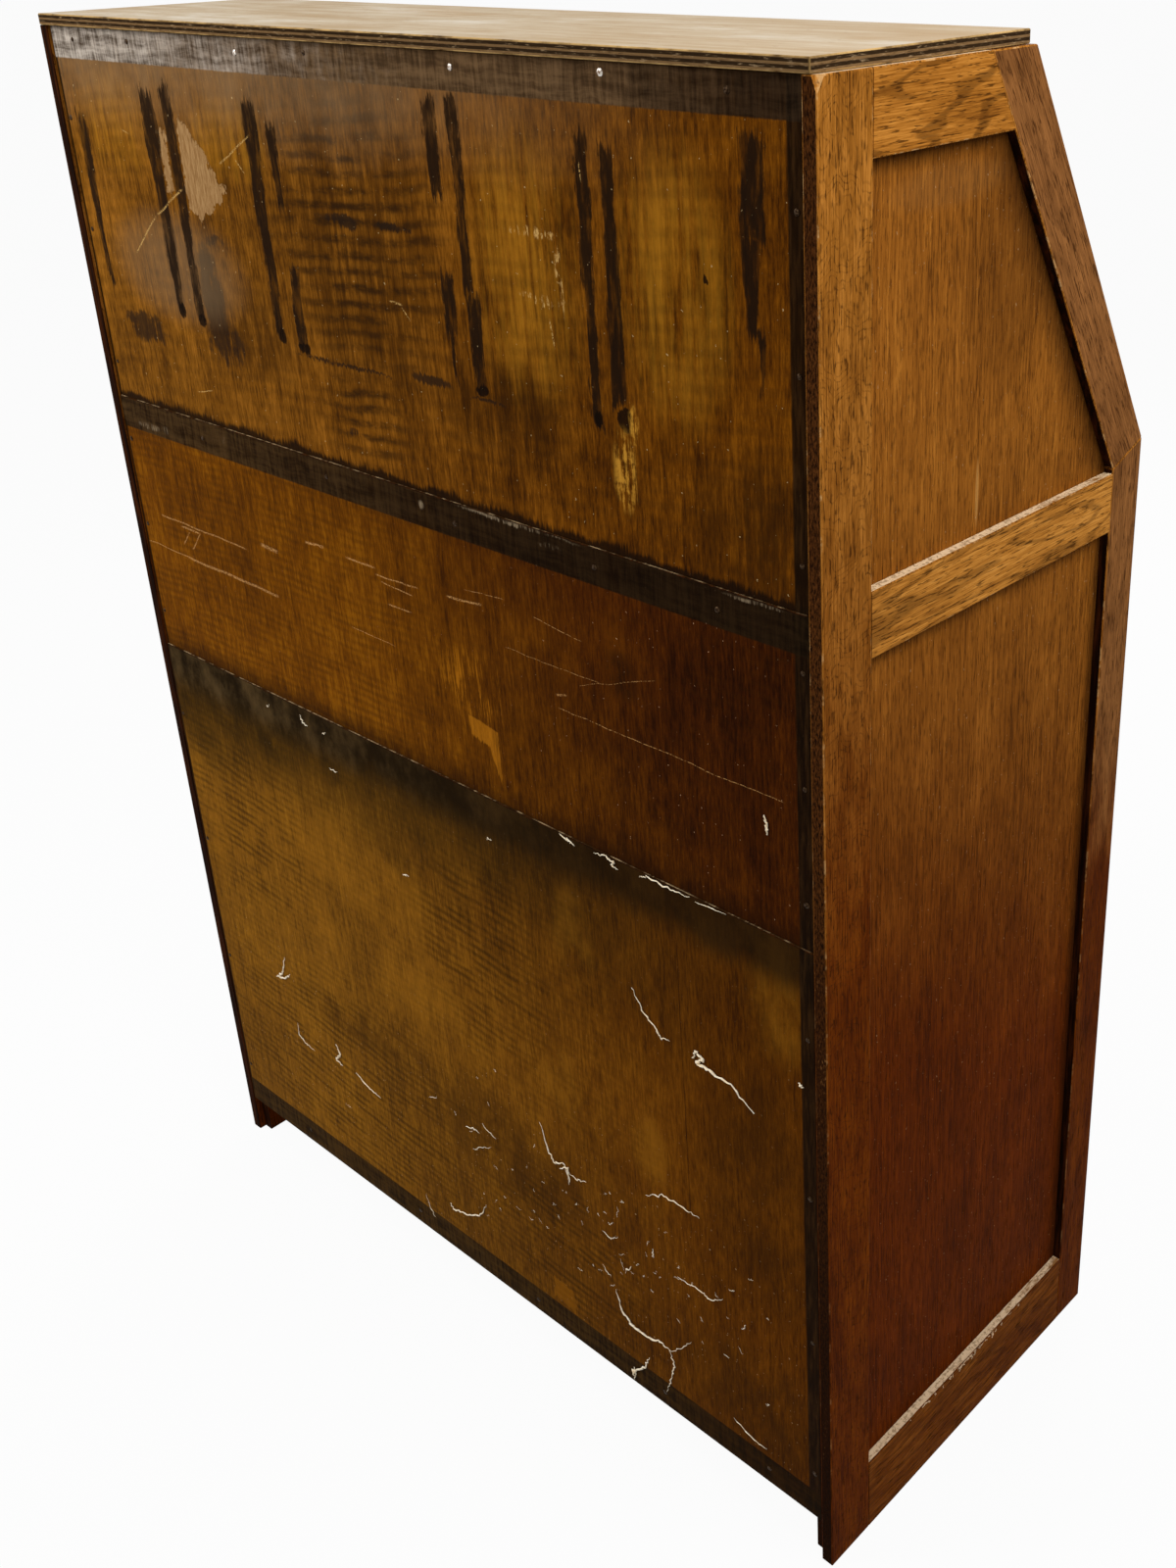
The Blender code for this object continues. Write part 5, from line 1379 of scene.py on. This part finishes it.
def screw_row(mesh, middle, along, aside, outward):
    """Three screws in the middle of a hinge leaf, the middle one set further from the pin."""
    for step, further in SCREW_STEPS:
        add_screw(mesh, middle + along * step + aside * further, outward)


def brass_leaf(node):
    """A hinge leaf with its knuckles smoothed."""
    body = frame["nodes"][node]["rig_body"]
    placed(node + "_smoothed", welded(node), (brass,), "brass", body, node, rounded=True)


FALL_HINGE_SPREAD = 0.235
FALL_SCREW_REACH = 0.015
fall_upright = oak("fall_upright", UP_SLOPE, SIDEWAYS, OAK_FRONT, FRONT_HEIGHTS)
fall_panel = oak("fall_panel", SIDEWAYS, UP_SLOPE, OAK_FRONT, FRONT_HEIGHTS)
brass = old_brass("old_brass")
eased("fall_board", (fall_upright, front_across, fall_panel, oak_stain_and_shade, front_arris), "oak_front",
      cuts=joint_cuts(0, FALL_FIELD_X), zone=fall_zone, also=fall_field_corner)
fitted_knob("fall_knob", OFF_SLOPE, "fall")
bed_screws, fall_screws = bmesh.new(), bmesh.new()
for sign, hand in ((-1, "left"), (1, "right")):
    brass_leaf(hand + "_fall_hinge_bed_leaf")
    brass_leaf(hand + "_fall_hinge_fall_leaf")
    pivot = FALL_PIVOT + SIDEWAYS * sign * FALL_HINGE_SPREAD
    screw_row(bed_screws, pivot + BACKWARD * FALL_SCREW_REACH, SIDEWAYS, BACKWARD, UP)
    screw_row(fall_screws, pivot + UP_SLOPE * FALL_SCREW_REACH, SIDEWAYS, UP_SLOPE, -OFF_SLOPE)
placed("bed_hinge_screws", bed_screws, (brass,), "brass", "carcase")
placed("fall_hinge_screws", fall_screws, (brass,), "brass", "fall")

# Doors
# Two cupboard doors, each a frame of two stiles and two rails round a thin panel set back on both faces.
# Each hangs on two brass butt hinges let into its edge and into the front stile, and has one turned knob.
DOOR_MIDDLE_X = 0.1805
DOOR_FIELD_HALF = 0.1355
DOOR_FIELD_Z = (0.112, 0.479)
DOOR_FACES_Y = (-0.160, -0.140)
DOOR_HINGE_X = 0.3605
DOOR_HINGE_REACH = 0.020
DOOR_HINGE_GAP = 0.0005
DOOR_SCREW_REACH = 0.011
door_upright = oak("door_upright", UP, SIDEWAYS, OAK_FRONT, FRONT_HEIGHTS)
door_panel = oak("door_panel", UP, SIDEWAYS, OAK_FRONT, FRONT_HEIGHTS)


def door_zone(middle, _):
    """Stiles, rails and panel of a door, by place."""
    on_rail = not DOOR_FIELD_Z[0] + WELD < middle.z < DOOR_FIELD_Z[1] - WELD
    return framed_zone(abs(abs(middle.x) - DOOR_MIDDLE_X), DOOR_FIELD_HALF, on_rail)


def door_field_corner(middle):
    """The corners of the frame round the panel, on both faces."""
    at_side = abs(abs(abs(middle.x) - DOOR_MIDDLE_X) - DOOR_FIELD_HALF) < WELD
    at_end = min(abs(middle.z - level) for level in DOOR_FIELD_Z) < WELD
    return (at_side or at_end) and min(abs(middle.y - face) for face in DOOR_FACES_Y) < WELD


for sign, hand in ((-1, "left"), (1, "right")):
    eased(hand + "_door", (door_upright, front_across, door_panel, oak_stain_and_shade, front_arris), "oak_front",
          cuts=joint_cuts(sign * DOOR_MIDDLE_X, DOOR_FIELD_HALF), zone=door_zone, also=door_field_corner)
    fitted_knob(hand + "_door_knob", -BACKWARD, "door_" + hand)
    stile_screws, door_screws = bmesh.new(), bmesh.new()
    for level in ("lower", "upper"):
        hinge = f"{hand}_door_{level}_hinge"
        brass_leaf(hinge + "_stile_leaf")
        brass_leaf(hinge + "_door_leaf")
        low, high = (Vector(corner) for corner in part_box(hinge + "_stile_leaf"))
        screw_y = high.y - DOOR_HINGE_REACH + DOOR_SCREW_REACH
        pivot = Vector((sign * DOOR_HINGE_X, screw_y, (low.z + high.z) / 2))
        outward = SIDEWAYS * sign
        screw_row(stile_screws, pivot + outward * DOOR_HINGE_GAP, UP, BACKWARD, -outward)
        screw_row(door_screws, pivot - outward * DOOR_HINGE_GAP, UP, BACKWARD, outward)
    placed(hand + "_stile_hinge_screws", stile_screws, (brass,), "brass", "carcase")
    placed(hand + "_door_hinge_screws", door_screws, (brass,), "brass", "door_" + hand)

# Floor and light
# The bureau stands on a plain pale floor in soft light, with a white surround.
# Large lamps stand above it at the back and at the side, so that the light fades towards the floor.
FLOOR_HALF = 60.0
FLOOR_TINT = (0.62, 0.62, 0.62, 1)
FLOOR_ROUGHNESS = 0.9
WHITE = (1, 1, 1, 1)
SEEN_WHITE = 0.95
AMBIENT = 0.35
# Each lamp has its name, its place, the place it is aimed at, its width in metres and its power in watts.
LAMPS = (("back_lamp", (0.95, 1.25, 1.75), (0.1, 0.18, 0.8), 0.9, 22),
         ("side_lamp", (-1.15, 0.10, 1.75), (-0.38, 0, 0.85), 0.9, 16),
         ("front_lamp", (0.6, -2.0, 2.0), (0, -0.1, 0.6), 1.4, 30))


def seen_directly(wire):
    """1 for rays of the camera, of gloss and of glass, which show the white surround."""
    return largest([wire.node("ShaderNodeLightPath", output=name)
                    for name in ("Is Camera Ray", "Is Glossy Ray", "Is Transmission Ray")])


floor_corners = [(x * FLOOR_HALF, y * FLOOR_HALF, 0) for x, y in ((-1, -1), (1, -1), (1, 1), (-1, 1))]
floor_mesh = bpy.data.meshes.new("floor")
floor_mesh.from_pydata(floor_corners, [], [(0, 1, 2, 3)])
floor = bpy.data.objects.new("floor", floor_mesh)
bpy.context.scene.collection.objects.link(floor)
floor_finish, floor_shader, floor_place = new_finish("pale_floor")
floor_shader.inputs["Base Color"].default_value = FLOOR_TINT
floor_shader.inputs["Roughness"].default_value = FLOOR_ROUGHNESS
glow = floor_place.node("ShaderNodeEmission", None, {"Color": WHITE, "Strength": 1.0})
share = seen_directly(floor_place) * SEEN_WHITE
mixed = floor_place.node("ShaderNodeMixShader", None, {0: share, 1: Wire(floor_shader.outputs[0]), 2: glow})
mixed.feed(floor_finish.node_tree.nodes["Material Output"], "Surface")
floor_mesh.materials.append(floor_finish)

world = bpy.data.worlds.new("surround")
bpy.context.scene.world = world
world.use_nodes = True
surround = world.node_tree.nodes["Background"]
surround.inputs["Color"].default_value = WHITE
far_floor = SEEN_WHITE + (1 - SEEN_WHITE) * FLOOR_TINT[0] * AMBIENT
(seen_directly(Wire(surround.outputs[0])) * (far_floor - AMBIENT) + AMBIENT).feed(surround, "Strength")


def add_lamp(name, place, aim, width, power):
    """A square lamp at a place, turned to what it is aimed at."""
    light = bpy.data.lights.new(name, "AREA")
    light.size = width
    light.energy = power
    holder = bpy.data.objects.new(name, light)
    holder.location = place
    holder.rotation_euler = (Vector(aim) - Vector(place)).to_track_quat("-Z", "Y").to_euler()
    bpy.context.scene.collection.objects.link(holder)


for lamp in LAMPS:
    add_lamp(*lamp)

# Camera
# It stands behind the bureau at its left rear corner, a little above the top, and looks down.
# Its lens is slightly wide, and its frame lies off the lens's middle, as in a picture that was cut to size.
EYE = (-0.91323, 0.81963, 1.13066)
LOOK = Vector((0.60122, -0.67929, -0.42084)).normalized()
ROLL = math.radians(-1.30)
FRAME_HEIGHT_PIXELS = 1600
FRAME_WIDTH_PIXELS = 1200
FOCAL_PIXELS = 1685.58
CENTRE_PIXELS = (795.88, 671.32)
SENSOR = 36.0
CLIP_END = 200
level_right = LOOK.cross(UP).normalized()
level_up = level_right.cross(LOOK)
right = level_right * math.cos(ROLL) + level_up * math.sin(ROLL)
above = right.cross(LOOK)
lens = bpy.data.cameras.new("camera")
lens.sensor_width = SENSOR
lens.lens = FOCAL_PIXELS * SENSOR / FRAME_HEIGHT_PIXELS
lens.shift_x = (FRAME_WIDTH_PIXELS / 2 - CENTRE_PIXELS[0]) / FRAME_HEIGHT_PIXELS
lens.shift_y = (CENTRE_PIXELS[1] - FRAME_HEIGHT_PIXELS / 2) / FRAME_HEIGHT_PIXELS
lens.clip_end = CLIP_END
camera = bpy.data.objects.new("camera", lens)
camera.matrix_world = Matrix.Translation(EYE) @ Matrix((right, above, -LOOK)).transposed().to_4x4()
bpy.context.scene.collection.objects.link(camera)
bpy.context.scene.camera = camera
bpy.context.scene.view_settings.view_transform = "Standard"
